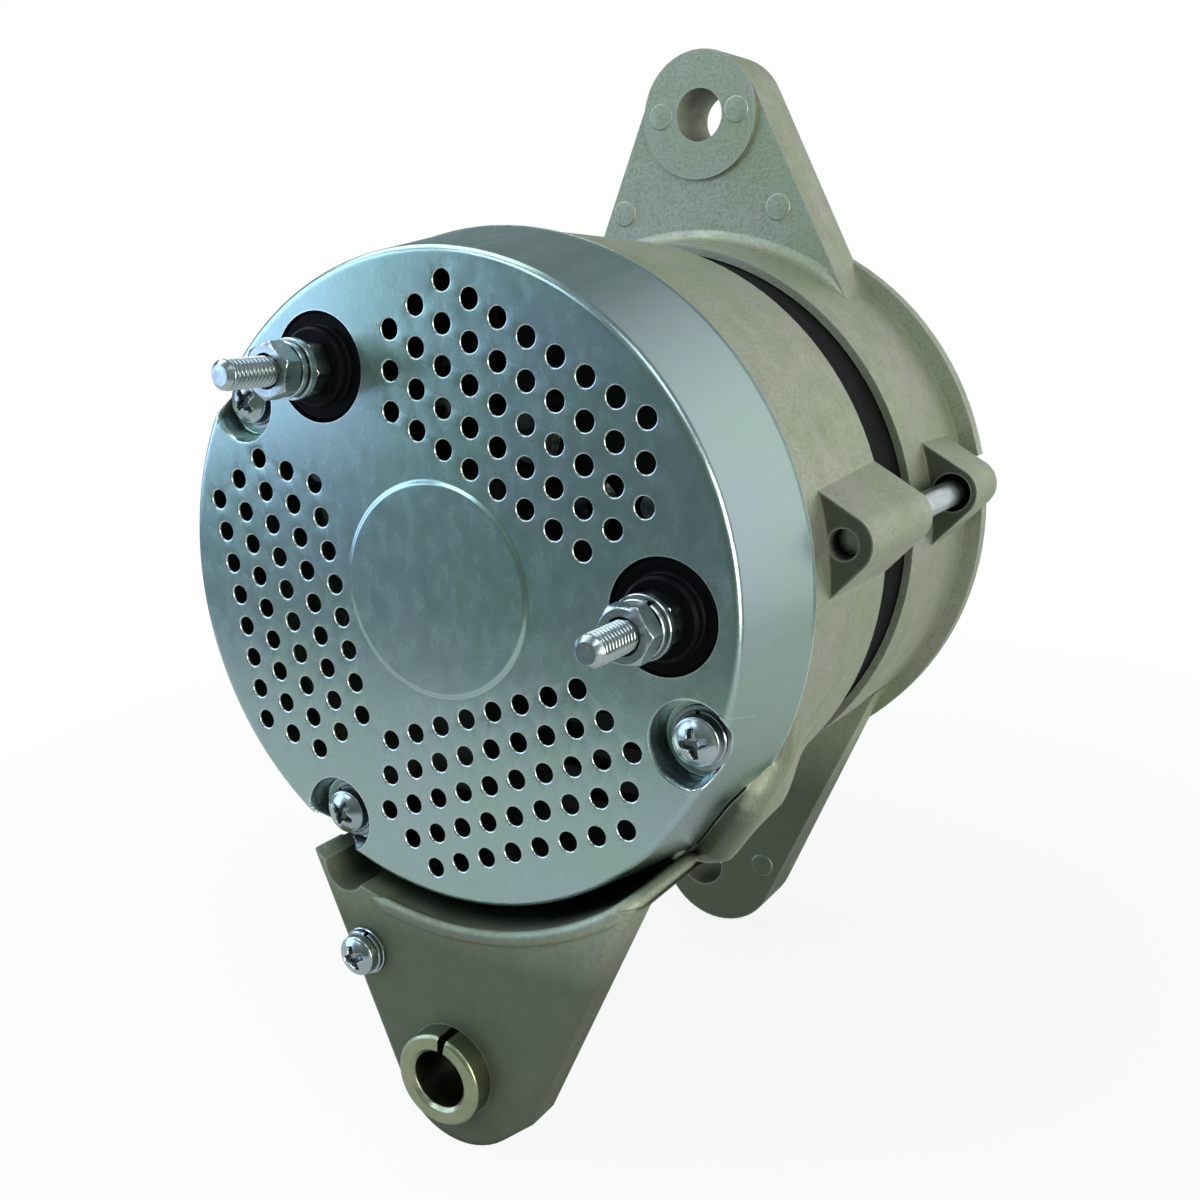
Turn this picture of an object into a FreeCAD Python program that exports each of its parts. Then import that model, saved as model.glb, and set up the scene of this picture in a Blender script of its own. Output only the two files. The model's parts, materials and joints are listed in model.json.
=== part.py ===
import FreeCAD
import Part
import Sketcher
import math
import os
import re

# An alternator for a heavy engine, in millimetres. The shaft lies along Y and the drive end is +Y.
# +Z points up through the adjusting ear, and X points right as seen from the rear.
# The origin is on the shaft's axis, in the centre plane of the belt.

SIZES = {
    # the casing's lengths along the shaft, from the belt's plane to the rear
    "belt_to_flange": 28.0,
    "flange_thickness": 4.1,
    "front_drum_length": 37.3,
    "core_window": 20.4,
    "rear_drum_length": 43.7,
    "cover_gap": 0.3,
    "cover_depth": 24.2,
    # clearances: a slack seat, a close fit of round parts, the air gap of the rotor
    "slack": 0.3,
    "fit_gap": 0.03,
    "air_gap": 0.5,
    "cut_over": 1.0,
    # rear cover
    "cover_flare": 3.7,
    "cover_sheet": 1.2,
    "cover_edge_rounding": 2.0,
    "emboss_radius": 21.0,
    "emboss_slope": 1.2,
    "emboss_rise": 0.6,
    "dent_radius": 8.5,
    "dent_depth": 5.0,
    "cover_screw_circle": 60.0,
    "cover_screw_angle_right": -20.8,
    "cover_screw_angle_left": 145.2,
    "cover_screw_angle_low": 242.2,
    # the three groups of air holes
    "hole_radius": 2.0,
    "hole_sides": 8,
    "hole_pitch": 7.0,
    "hole_row_pitch": 7.0,
    "hole_group_circle": 40.0,
    "hole_middle_row": 10,
    "hole_outer_rows": 2,
    "hole_angle_top": 62.3,
    "hole_angle_left": 191.7,
    "hole_angle_low": 292.3,
    # terminals
    "terminal_circle": 50.4,
    "terminal_angle_right": 1.7,
    "terminal_angle_left": 123.1,
    "terminal_opening_radius": 11.0,
    "stud_radius": 3.0,
    "stud_reach": 26.0,
    "stud_chamfer": 1.0,
    "stud_relief_depth": 0.5,
    "stud_relief_width": 0.6,
    "insulator_gap": 0.4,
    "insulator_disc_thickness": 4.0,
    "insulator_boss_radius": 7.8,
    "insulator_boss_rise": 2.0,
    "insulator_neck_radius": 7.0,
    "nut_flats": 10.0,
    "nut_height": 4.6,
    "washer_radius": 6.0,
    "washer_thickness": 1.6,
    "spring_washer_radius": 5.4,
    "spring_washer_thickness": 1.7,
    # rear bracket
    "rear_drum_radius": 69.0,
    "rear_drum_draft": 1.8,
    "core_cover": 2.7,
    "core_seat_width": 2.9,
    "spigot_length": 4.0,
    "spigot_gap": 1.1,
    "spigot_wall": 3.0,
    "rear_wall_inset": 1.8,
    "rear_wall_thickness": 5.0,
    "rear_boss_radius": 22.5,
    "post_radius": 4.4,
    "vent_circle": 45.0,
    "vent_radius": 8.0,
    "vent_angle_right": 1.5,
    "vent_angle_upper_right": 46.5,
    "vent_angle_upper_left": 136.0,
    "vent_angle_left": 181.5,
    "vent_angle_lower_left": 208.0,
    # through bolts and their bosses
    "bolt_offset": 2.7,
    "bolt_angle": 8.8,
    "bolt_count": 3,
    "bolt_radius": 3.0,
    "bolt_recess": 5.0,
    "bolt_head_flats": 8.0,
    "bolt_head_height": 4.0,
    "bolt_head_sink": 4.5,
    "bolt_head_room": 4.9,
    "boss_radius": 5.9,
    "boss_root_half_width": 12.3,
    "boss_root_depth": 1.6,
    "rear_boss_inset": 8.0,
    "front_boss_setback": 12.0,
    "front_boss_length": 17.0,
    "boss_counterbore_radius": 4.4,
    "boss_counterbore_depth": 6.0,
    "flange_notch_radius": 5.6,
    # rear ear with its split bush
    "pivot_side": 2.0,
    "pivot_drop": 103.5,
    "rear_ear_overhang": 2.2,
    "rear_ear_thickness": 10.0,
    "rear_ear_side": 3.1,
    "rear_ear_drop": 105.1,
    "rear_ear_radius": 16.5,
    "rear_ear_left": 34.8,
    "rear_ear_left_drop": 62.0,
    "rear_ear_right": 45.5,
    "rear_ear_right_drop": 55.9,
    "rear_ear_heel": 21.3,
    "rear_ear_heel_drop": 111.2,
    "rear_ear_rounding": 2.5,
    "ear_boss_length": 20.0,
    "ear_boss_radius": 15.0,
    "ear_rib_half_width": 20.0,
    "lip_gap": 1.0,
    "skirt_wall": 3.0,
    "skirt_right_angle": 309.5,
    "skirt_left_angle": 241.0,
    "pocket_inset": 1.5,
    "pocket_angle": 248.5,
    "pocket_radius": 5.3,
    "pocket_wall": 3.2,
    "pocket_depth": 22.0,
    "bush_radius": 10.2,
    "bush_bore_radius": 6.25,
    "bush_proud": 5.0,
    "bush_slit": 1.6,
    "bush_slit_angle": 82.0,
    "ground_screw_side": 19.7,
    "ground_screw_drop": 81.5,
    "ground_screw_radius": 2.5,
    "ground_screw_length": 12.0,
    "ground_head_radius": 4.4,
    "ground_head_height": 3.2,
    "ground_washer_radius": 5.2,
    "ground_washer_thickness": 1.0,
    # front bracket
    "front_core_cover": 2.1,
    "front_drum_draft": 0.9,
    "flange_rise": 4.1,
    "front_boss_radius": 33.0,
    "front_boss_rise": 8.0,
    "front_boss_nose_radius": 30.0,
    "front_vent_inner": 38.0,
    "front_vent_outer": 57.0,
    "front_vent_count": 10,
    "front_vent_rib": 7.0,
    # adjusting ear and front pivot ear
    "ear_bore_radius": 6.25,
    "top_ear_height": 97.4,
    "top_ear_radius": 15.3,
    "top_ear_inset": 3.0,
    "top_ear_thickness": 16.5,
    "top_ear_left": 31.0,
    "top_ear_right": 36.5,
    "top_ear_root": 60.0,
    "pad_radius": 15.2,
    "pad_rise": 1.0,
    "front_ear_side": 7.2,
    "front_ear_drop": 102.5,
    "front_ear_radius": 16.6,
    "front_ear_thickness": 14.5,
    "front_ear_left": 36.0,
    "front_ear_right": 47.0,
    "front_ear_root": 50.0,
    # stator
    "core_seat": 4.5,
    "core_depth": 15.0,
    "slot_count": 36,
    "slot_depth": 9.0,
    "slot_width": 4.6,
    "slot_mouth": 1.8,
    "slot_lip": 1.2,
    "coil_head_length": 12.0,
    "coil_head_inset": 2.0,
    "coil_head_gap": 2.1,
    # rotor
    "claw_count": 6,
    "coil_width": 28.0,
    "pole_plate": 12.0,
    "pole_plate_radius": 30.0,
    "pole_core_radius": 17.0,
    "claw_root_half_width": 10.5,
    "claw_tip_half_width": 4.2,
    "claw_root_thickness": 8.5,
    "claw_tip_thickness": 4.0,
    "claw_end_gap": 2.0,
    "bobbin_wall": 1.2,
    "coil_clearance": 2.5,
    "shaft_core_radius": 11.0,
    "shaft_rear_step_radius": 10.0,
    "shaft_tail_radius": 6.5,
    "shaft_tail_gap": 3.8,
    "shaft_nose": 2.0,
    # bearings
    "front_bearing_outer": 23.5,
    "front_bearing_inner": 8.5,
    "front_bearing_width": 14.0,
    "front_ball_count": 8,
    "rear_bearing_outer": 17.5,
    "rear_bearing_inner": 7.5,
    "rear_bearing_width": 11.0,
    "rear_ball_count": 9,
    "ring_thickness": 2.6,
    "rear_ring_thickness": 1.8,
    "shield_thickness": 0.8,
    "ball_gap": 0.05,
    "bearing_lip": 2.2,
    "bearing_lip_width": 6.0,
    "retainer_radius": 32.0,
    "retainer_bore": 17.0,
    "retainer_thickness": 2.0,
    "retainer_screw_circle": 28.0,
    "retainer_screw_radius": 2.0,
    "retainer_screw_length": 8.0,
    "retainer_head_radius": 3.6,
    "retainer_head_height": 2.4,
    # slip rings, brushes and their holder
    "sleeve_radius": 10.0,
    "ring_radius": 13.0,
    "ring_width": 5.0,
    "ring_spacing": 8.0,
    "ring_start": 2.5,
    "sleeve_length": 18.5,
    "brush_width": 8.0,
    "brush_thickness": 4.6,
    "brush_length": 15.0,
    "brush_slack": 0.15,
    "brush_room": 12.0,
    "holder_wall": 2.4,
    "holder_top_gap": 1.5,
    "holder_lug": 8.0,
    "holder_lug_height": 5.0,
    "holder_lug_drop": 30.0,
    "spring_radius": 1.7,
    "spring_wire": 0.7,
    "spring_turns": 4,
    # rectifier and regulator
    "sink_depth": 15.0,
    "sink_thickness": 3.0,
    "sink_inner": 27.0,
    "sink_outer": 53.8,
    "sink_span": 92.0,
    "positive_sink_angle": -14.0,
    "negative_sink_angle": 84.0,
    "diode_circle": 34.5,
    "diode_radius": 6.0,
    "diode_height": 6.0,
    "diode_count": 3,
    "diode_pitch": 30.0,
    "diode_start": 15.0,
    "sink_screw_circle": 45.0,
    "positive_screw_first": 38.0,
    "positive_screw_second": 80.0,
    "negative_screw_first": 14.0,
    "negative_screw_second": 71.0,
    "insulating_ring_thickness": 2.0,
    "small_screw_radius": 2.0,
    "small_screw_length": 8.0,
    "small_head_radius": 3.5,
    "small_head_height": 2.4,
    "regulator_left": 20.0,
    "regulator_right": 40.0,
    "regulator_top_drop": 24.0,
    "regulator_bottom_drop": 46.0,
    "regulator_height": 12.0,
    "regulator_fin_depth": 4.0,
    # cover screws
    "cover_screw_radius": 2.5,
    "cover_screw_length": 12.0,
    "cover_head_radius": 4.8,
    "cover_head_height": 3.4,
    "cover_washer_radius": 6.2,
    "cover_washer_thickness": 1.2,
    # fan, pulley and nut
    "fan_radius": 62.0,
    "fan_plate": 2.0,
    "fan_blade_height": 9.5,
    "fan_blade_inner": 38.0,
    "fan_blade_count": 12,
    "fan_blade_thickness": 2.0,
    "fan_blade_lean": 24.0,
    "collar_radius": 12.5,
    "pulley_width": 26.0,
    "pulley_radius": 38.0,
    "groove_root_radius": 26.0,
    "groove_half_top": 8.4,
    "groove_half_root": 4.2,
    "pulley_hub_radius": 17.0,
    "pulley_recess": 6.0,
    "key_width": 5.0,
    "key_height": 5.0,
    "key_length": 12.0,
    "lock_washer_radius": 12.5,
    "lock_washer_thickness": 3.0,
    "shaft_nut_flats": 24.0,
    "shaft_nut_height": 11.0,
    "shaft_thread_radius": 8.0,
}

# Places that follow from the sizes, as expressions. A position is a Y value unless its name says otherwise.
PLACES = {
    "rear_drum_end_radius": "rear_drum_radius - rear_drum_draft",
    "cover_end_radius": "rear_drum_radius",
    "cover_rim_radius": "cover_end_radius - cover_flare",
    "spigot_radius": "cover_end_radius - cover_sheet - spigot_gap",
    "lip_radius": "rear_drum_radius + lip_gap",
    "skirt_radius": "lip_radius + skirt_wall",
    "pocket_circle": "lip_radius - pocket_inset",
    "core_radius": "rear_drum_end_radius - core_cover",
    "core_bore": "core_radius - core_depth",
    "rotor_radius": "core_bore - air_gap",
    "claw_root_inner": "rotor_radius - claw_root_thickness",
    "claw_tip_inner": "rotor_radius - claw_tip_thickness",
    "coil_radius": "claw_root_inner - coil_clearance",
    "drum_bore": "core_radius - core_seat_width",
    "coil_head_inner": "core_bore + coil_head_inset",
    "coil_head_outer": "drum_bore - coil_head_gap",
    "front_drum_radius": "core_radius + front_core_cover",
    "front_drum_root_radius": "front_drum_radius + front_drum_draft",
    "flange_radius": "front_drum_root_radius + flange_rise",
    "bolt_circle": "rear_drum_radius + bolt_offset",
    "boss_root_radius": "rear_drum_end_radius - boss_root_depth",
    "flange_front": "-belt_to_flange",
    "flange_rear": "flange_front - flange_thickness",
    "front_drum_end": "flange_rear - front_drum_length",
    "rear_drum_end": "front_drum_end - core_window",
    "rear_drum_start": "rear_drum_end - rear_drum_length",
    "cover_end": "rear_drum_start - cover_gap",
    "cover_face": "cover_end - cover_depth",
    "dent_floor": "cover_face + dent_depth",
    "core_rear": "rear_drum_end - core_seat",
    "core_front": "front_drum_end + core_seat",
    "rear_wall_rear": "rear_drum_start + rear_wall_inset",
    "rear_wall_front": "rear_wall_rear + rear_wall_thickness",
    "rear_bearing_rear": "rear_wall_rear + bearing_lip",
    "rear_bearing_front": "rear_bearing_rear + rear_bearing_width",
    "front_ball_radius": "(front_bearing_outer - front_bearing_inner) / 2 - ring_thickness - ball_gap",
    "rear_ball_radius": "(rear_bearing_outer - rear_bearing_inner) / 2 - rear_ring_thickness - ball_gap",
    "front_boss_front": "flange_front + front_boss_rise",
    "front_bearing_front": "front_boss_front - bearing_lip",
    "front_bearing_rear": "front_bearing_front - front_bearing_width",
    "retainer_rear": "front_bearing_rear - retainer_thickness",
    "rear_boss_face": "rear_drum_start + rear_boss_inset",
    "bolt_end_face": "flange_front - front_boss_setback",
    "front_boss_face": "bolt_end_face - front_boss_length",
    "bolt_seat": "bolt_end_face - bolt_head_sink",
    "rear_ear_face": "cover_face - rear_ear_overhang",
    "bush_rear": "rear_ear_face - bush_proud",
    "top_ear_rear": "flange_front - top_ear_inset - top_ear_thickness",
    "front_ear_rear": "flange_front - front_ear_thickness",
    "bush_front": "rear_ear_face + ear_boss_length",
    "rotor_middle": "(core_rear + core_front) / 2",
    "rear_pole_inner": "rotor_middle - coil_width / 2",
    "front_pole_inner": "rotor_middle + coil_width / 2",
    "rear_pole_outer": "rear_pole_inner - pole_plate",
    "front_pole_outer": "front_pole_inner + pole_plate",
    "shaft_rear": "cover_face + cover_sheet + shaft_tail_gap",
    "first_ring": "shaft_rear + ring_start",
    "second_ring": "first_ring + ring_spacing",
    "sink_rear": "cover_face + sink_depth",
    "sink_front": "sink_rear + sink_thickness",
    "pulley_rear": "-pulley_width / 2",
    "pulley_front": "pulley_width / 2",
    "fan_rear": "pulley_rear - fan_plate",
    "nut_seat": "pulley_front - pulley_recess",
    "nut_rear": "nut_seat + lock_washer_thickness",
    "nut_front": "nut_rear + shaft_nut_height",
    "shaft_front": "nut_front + shaft_nose",
    "insulator_rear": "cover_face - insulator_boss_rise",
    "brush_top": "ring_radius + slack",
    "brush_bottom": "brush_top + brush_length",
    "holder_top": "ring_radius + holder_top_gap",
    "channel_bottom": "brush_bottom + brush_room",
    "holder_bottom": "channel_bottom + holder_wall",
    "terminal_nut_face": "insulator_rear - nut_height",
    "terminal_washer_face": "terminal_nut_face - washer_thickness",
    "terminal_spring_face": "terminal_washer_face - spring_washer_thickness",
    "terminal_outer_face": "terminal_spring_face - nut_height",
}

doc = FreeCAD.newDocument("Alternator")
sheet = doc.addObject("Spreadsheet::Sheet", "Sizes")
for row, (size_name, size) in enumerate(SIZES.items(), 1):
    sheet.set(f"A{row}", size_name)
    sheet.set(f"B{row}", str(size))
    sheet.setAlias(f"B{row}", size_name)
doc.recompute()

nodes = []


def bound(text):
    """The expression with each size as its cell and each place as its own expression."""

    def term(match):
        word = match[0]
        if word in PLACES:
            return f"({bound(PLACES[word])})"
        return f"Sizes.{word}" if word in SIZES else word

    return re.sub(r"[a-z][a-z_]*", term, text)


def value(text):
    return float(sheet.evalExpression(bound(text)))


def bind(thing, **expressions):
    for name, text in expressions.items():
        thing.setExpression(name, bound(text))


def keep(thing, label):
    """Gives a finished sub-part its name and puts it on the list to be written."""
    thing.Label = label
    nodes.append(thing)
    return thing


def new_body(name):
    return doc.addObject("PartDesign::Body", name)


def plane_sketch(body, role, name):
    sketch = body.newObject("Sketcher::SketchObject", name)
    planes = [item for item in body.Origin.OriginFeatures if item.Role == role]
    sketch.AttachmentSupport = (planes[0], [""])
    sketch.MapMode = "FlatFace"
    return sketch


def across(body, name, place, turn="0"):
    """A sketch square to the shaft at a Y place: its u is X and its v is Z, turned about the shaft."""
    sketch = plane_sketch(body, "XZ_Plane", name)
    sketch.setExpression(".AttachmentOffset.Base.z", bound(f"-({place})"))
    sketch.setExpression(".AttachmentOffset.Rotation.Angle", bound(turn))
    return sketch


def pinned(geometry, end, u, v):
    """The ties of one point of a sketch to its two coordinates."""
    ties = []
    for kind, text, axis in (("DistanceX", u, -2), ("DistanceY", v, -1)):
        if text == "0":
            ties.append((Sketcher.Constraint("PointOnObject", geometry, end, axis), None))
        else:
            ties.append((Sketcher.Constraint(kind, -1, 1, geometry, end, value(text)), text))
    return ties


def tie(sketch, ties):
    """Adds constraints, and binds each that has an expression to it."""
    numbers = sketch.addConstraint([constraint for constraint, text in ties])
    for number, (constraint, text) in zip(numbers, ties):
        if text is not None:
            sketch.setExpression(f"Constraints[{number}]", bound(text))


def draw_polygon(sketch, points):
    spots = [FreeCAD.Vector(value(u), value(v), 0) for u, v in points]
    first = sketch.GeometryCount
    count = len(points)
    sketch.addGeometry([Part.LineSegment(spots[i], spots[(i + 1) % count]) for i in range(count)], False)
    ties = []
    for i, (u, v) in enumerate(points):
        ties.append((Sketcher.Constraint("Coincident", first + i, 2, first + (i + 1) % count, 1), None))
        ties += pinned(first + i, 1, u, v)
    tie(sketch, ties)


def draw_circle(sketch, u, v, radius):
    centre = FreeCAD.Vector(value(u), value(v), 0)
    number = sketch.addGeometry(Part.Circle(centre, FreeCAD.Vector(0, 0, 1), value(radius)), False)
    tie(sketch, pinned(number, 3, u, v) + [(Sketcher.Constraint("Radius", number, value(radius)), radius)])


def draw_regular(sketch, u, v, flat_radius, sides):
    """A regular polygon about a point, whose flats are flat_radius from it."""
    count = round(value(sides))
    corner = f"({flat_radius}) / cos(180 / ({sides}))"
    points = []
    for i in range(count):
        angle = f"({i} + 0.5) * 360 / ({sides})"
        points.append((f"{u} + {corner} * cos({angle})", f"{v} + {corner} * sin({angle})"))
    draw_polygon(sketch, points)


def tangent_foot(corner, centre, radius, side):
    """Where the line from a corner touches a circle on the given side."""
    along = centre - corner
    turn = side * math.asin(radius / along.Length)
    reach = math.sqrt(along.Length**2 - radius**2)
    angle = math.atan2(along.y, along.x) + turn
    return corner + FreeCAD.Vector(math.cos(angle), math.sin(angle), 0) * reach


def draw_lug(sketch, start, finish, centre, radius):
    """A lug: two corners at its root, a round end about its bore, and a tangent line on each side.

    The round end runs counterclockwise from the start's side to the finish's side.
    """
    spots = [FreeCAD.Vector(value(u), value(v), 0) for u, v in (start, finish, centre)]
    size = value(radius)
    first_foot = tangent_foot(spots[0], spots[2], size, -1)
    second_foot = tangent_foot(spots[1], spots[2], size, 1)
    angles = [math.atan2(foot.y - spots[2].y, foot.x - spots[2].x) for foot in (first_foot, second_foot)]
    circle = Part.Circle(spots[2], FreeCAD.Vector(0, 0, 1), size)
    first = sketch.GeometryCount
    sketch.addGeometry(
        [
            Part.LineSegment(spots[0], first_foot),
            Part.ArcOfCircle(circle, angles[0], angles[1]),
            Part.LineSegment(second_foot, spots[1]),
            Part.LineSegment(spots[1], spots[0]),
        ],
        False,
    )
    ties = [
        (Sketcher.Constraint("Tangent", first, 2, first + 1, 1), None),
        (Sketcher.Constraint("Tangent", first + 1, 2, first + 2, 1), None),
        (Sketcher.Constraint("Coincident", first + 2, 2, first + 3, 1), None),
        (Sketcher.Constraint("Coincident", first + 3, 2, first, 1), None),
        (Sketcher.Constraint("Radius", first + 1, size), radius),
    ]
    ties += pinned(first, 1, *start) + pinned(first + 2, 2, *finish) + pinned(first + 1, 3, *centre)
    tie(sketch, ties)


def draw_foot(sketch):
    """The rear ear: a root corner each side, a heel at the lower right, and a round end."""
    corners = [
        ("-rear_ear_left", "-rear_ear_left_drop"),
        ("rear_ear_right", "-rear_ear_right_drop"),
        ("rear_ear_heel", "-rear_ear_heel_drop"),
    ]
    left, right, heel, pivot = (
        FreeCAD.Vector(value(u), value(v), 0) for u, v in corners + [("rear_ear_side", "-rear_ear_drop")]
    )
    size = value("rear_ear_radius")
    left_foot = tangent_foot(left, pivot, size, -1)
    heel_foot = tangent_foot(heel, pivot, size, 1)
    angles = [math.atan2(foot.y - pivot.y, foot.x - pivot.x) for foot in (left_foot, heel_foot)]
    circle = Part.Circle(pivot, FreeCAD.Vector(0, 0, 1), size)
    first = sketch.GeometryCount
    sketch.addGeometry(
        [
            Part.LineSegment(left, left_foot),
            Part.ArcOfCircle(circle, angles[0], angles[1]),
            Part.LineSegment(heel_foot, heel),
            Part.LineSegment(heel, right),
            Part.LineSegment(right, left),
        ],
        False,
    )
    ties = [
        (Sketcher.Constraint("Tangent", first, 2, first + 1, 1), None),
        (Sketcher.Constraint("Tangent", first + 1, 2, first + 2, 1), None),
        (Sketcher.Constraint("Coincident", first + 2, 2, first + 3, 1), None),
        (Sketcher.Constraint("Coincident", first + 3, 2, first + 4, 1), None),
        (Sketcher.Constraint("Coincident", first + 4, 2, first, 1), None),
        (Sketcher.Constraint("Radius", first + 1, size), "rear_ear_radius"),
    ]
    ties += pinned(first, 1, *corners[0]) + pinned(first + 3, 2, *corners[1]) + pinned(first + 2, 2, *corners[2])
    tie(sketch, ties + pinned(first + 1, 3, "rear_ear_side", "-rear_ear_drop"))


def draw_block(sketch, left, right, low, high):
    draw_polygon(sketch, [(left, low), (right, low), (right, high), (left, high)])


def extrude(body, kind, name, sketch, length, towards_drive_end=True):
    """A Pad or Pocket of the sketch, from its plane towards one end of the shaft."""
    feature = body.newObject(f"PartDesign::{kind}", name)
    feature.Profile = sketch
    bind(feature, Length=length)
    feature.Reversed = towards_drive_end == (kind == "Pad")
    return feature


def turn_about_shaft(body, name, points):
    """A solid of revolution about the body's own Y axis from (radius, Y) points."""
    sketch = plane_sketch(body, "XY_Plane", f"{name}Outline")
    draw_polygon(sketch, points)
    feature = body.newObject("PartDesign::Revolution", name)
    feature.Profile = sketch
    feature.ReferenceAxis = (sketch, ["V_Axis"])
    feature.Angle = 360
    return feature


def turned(name, points):
    body = new_body(name)
    turn_about_shaft(body, f"{name}Turned", points)
    return body


def ring(name, inner, outer, rear, front):
    return turned(name, [(inner, rear), (outer, rear), (outer, front), (inner, front)])


def repeat(body, name, feature, sketch, count):
    """Repeats a feature evenly about the shaft."""
    pattern = body.newObject("PartDesign::PolarPattern", name)
    pattern.Originals = [feature]
    pattern.Axis = (sketch, ["N_Axis"])
    pattern.Angle = 360
    bind(pattern, Occurrences=count)
    body.Tip = pattern
    return pattern


def round_edges(body, name, radius, wanted):
    """Rounds the edges of the body so far that pass a test."""
    doc.recompute()
    base = body.Tip
    names = [f"Edge{i}" for i, edge in enumerate(base.Shape.Edges, 1) if wanted(edge)]
    feature = body.newObject("PartDesign::Fillet", name)
    feature.Base = (base, names)
    bind(feature, Radius=radius)
    return feature


def is_circle(edge, radius, place):
    curve = edge.Curve
    if not isinstance(curve, Part.Circle):
        return False
    return abs(curve.Radius - value(radius)) < 0.001 and abs(curve.Center.y - value(place)) < 0.001


def lies_on(edge, faces):
    """Whether an edge lies in the plane at one of the Y places, with its ends and middle passing that place's test."""
    ends = [vertex.Point for vertex in edge.Vertexes] + [edge.valueAt(sum(edge.ParameterRange) / 2)]
    for place, test in faces.items():
        if all(abs(point.y - value(place)) < 0.001 and test(point) for point in ends):
            return True
    return False


def polar(circle, angle):
    """The X and Z of a point on a circle about the shaft."""
    return f"{circle} * cos({angle})", f"{circle} * sin({angle})"


def set_out(label, original, spots):
    """Copies of one piece in one sub-part, each moved by its (X, Z) and, where given, its Y."""
    links = []
    for i, spot in enumerate(spots):
        link = doc.addObject("App::Link", f"{label}_{i}")
        link.LinkedObject = original
        link.setExpression(".Placement.Base.x", bound(spot[0]))
        link.setExpression(".Placement.Base.z", bound(spot[1]))
        if len(spot) > 2:
            link.setExpression(".Placement.Base.y", bound(spot[2]))
        links.append(link)
    group = doc.addObject("Part::Compound", label)
    group.Links = links
    return keep(group, label)


def less(name, base, tool):
    cut = doc.addObject("Part::Cut", name)
    cut.Base = base
    cut.Tool = tool
    return cut


def screw(name, seat, radius, length, head_radius, head_height):
    """A pan-head screw on its own Y axis, whose head stands rearward of its seat."""
    shoulder = f"({seat}) - ({head_height})"
    return turned(
        name,
        [
            ("0", shoulder),
            (f"{head_radius} * 0.72", shoulder),
            (head_radius, f"({seat}) - ({head_height}) * 0.45"),
            (head_radius, seat),
            (radius, seat),
            (radius, f"({seat}) + ({length})"),
            ("0", f"({seat}) + ({length})"),
        ],
    )


def hex_nut(name, flats, bore, rear, height):
    body = new_body(name)
    sketch = across(body, f"{name}Outline", rear)
    draw_regular(sketch, "0", "0", f"{flats} / 2", "6")
    draw_circle(sketch, "0", "0", bore)
    extrude(body, "Pad", f"{name}Pad", sketch, height)
    return body


COVER_SCREWS = [
    polar("cover_screw_circle", f"cover_screw_angle_{side}") for side in ("right", "left", "low")
]
TERMINALS = [polar("terminal_circle", f"terminal_angle_{side}") for side in ("right", "left")]


def make_rear_cover():
    """A pressed cup with a flared wall, three dents for screws, two terminal openings and three groups of holes."""
    form = new_body("CoverForm")
    turn_about_shaft(
        form,
        "CoverFormTurned",
        [
            ("0", "cover_face - emboss_rise"),
            ("emboss_radius", "cover_face - emboss_rise"),
            ("emboss_radius + emboss_slope", "cover_face"),
            ("cover_rim_radius", "cover_face"),
            ("cover_end_radius", "cover_end"),
            ("0", "cover_end"),
        ],
    )
    round_edges(form, "CoverEdge", "cover_edge_rounding", lambda e: is_circle(e, "cover_rim_radius", "cover_face"))
    dents = across(form, "CoverDents", "cover_face - cut_over")
    for u, v in COVER_SCREWS:
        draw_circle(dents, u, v, "dent_radius")
    extrude(form, "Pocket", "CoverDentPocket", dents, "dent_depth + cut_over")

    cavity = new_body("CoverCavity")
    turn_about_shaft(
        cavity,
        "CoverCavityTurned",
        [
            ("0", "cover_face - emboss_rise + cover_sheet"),
            ("emboss_radius", "cover_face - emboss_rise + cover_sheet"),
            ("emboss_radius + emboss_slope", "cover_face + cover_sheet"),
            ("cover_rim_radius - cover_sheet", "cover_face + cover_sheet"),
            ("cover_end_radius - cover_sheet", "cover_end"),
            ("cover_end_radius - cover_sheet", "cover_end + cut_over"),
            ("0", "cover_end + cut_over"),
        ],
    )
    backs = across(cavity, "DentBacks", "cover_face")
    for u, v in COVER_SCREWS:
        draw_circle(backs, u, v, "dent_radius + cover_sheet")
    extrude(cavity, "Pocket", "DentBackPocket", backs, "dent_depth + cover_sheet")

    openings = new_body("CoverOpenings")
    sketch = across(openings, "CoverOpeningRings", "cover_face - cut_over")
    for u, v in TERMINALS:
        draw_circle(sketch, u, v, "terminal_opening_radius")
    for u, v in COVER_SCREWS:
        draw_circle(sketch, u, v, "cover_screw_radius + slack")
    extrude(openings, "Pad", "CoverOpeningPad", sketch, "dent_depth + 2 * cover_sheet + cut_over")

    shell = less("CoverShell", form, cavity)
    open_shell = less("CoverOpenShell", shell, openings)
    cover = less("CoverPerforated", open_shell, make_hole_groups())
    return keep(cover, "rear_cover")


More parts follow.
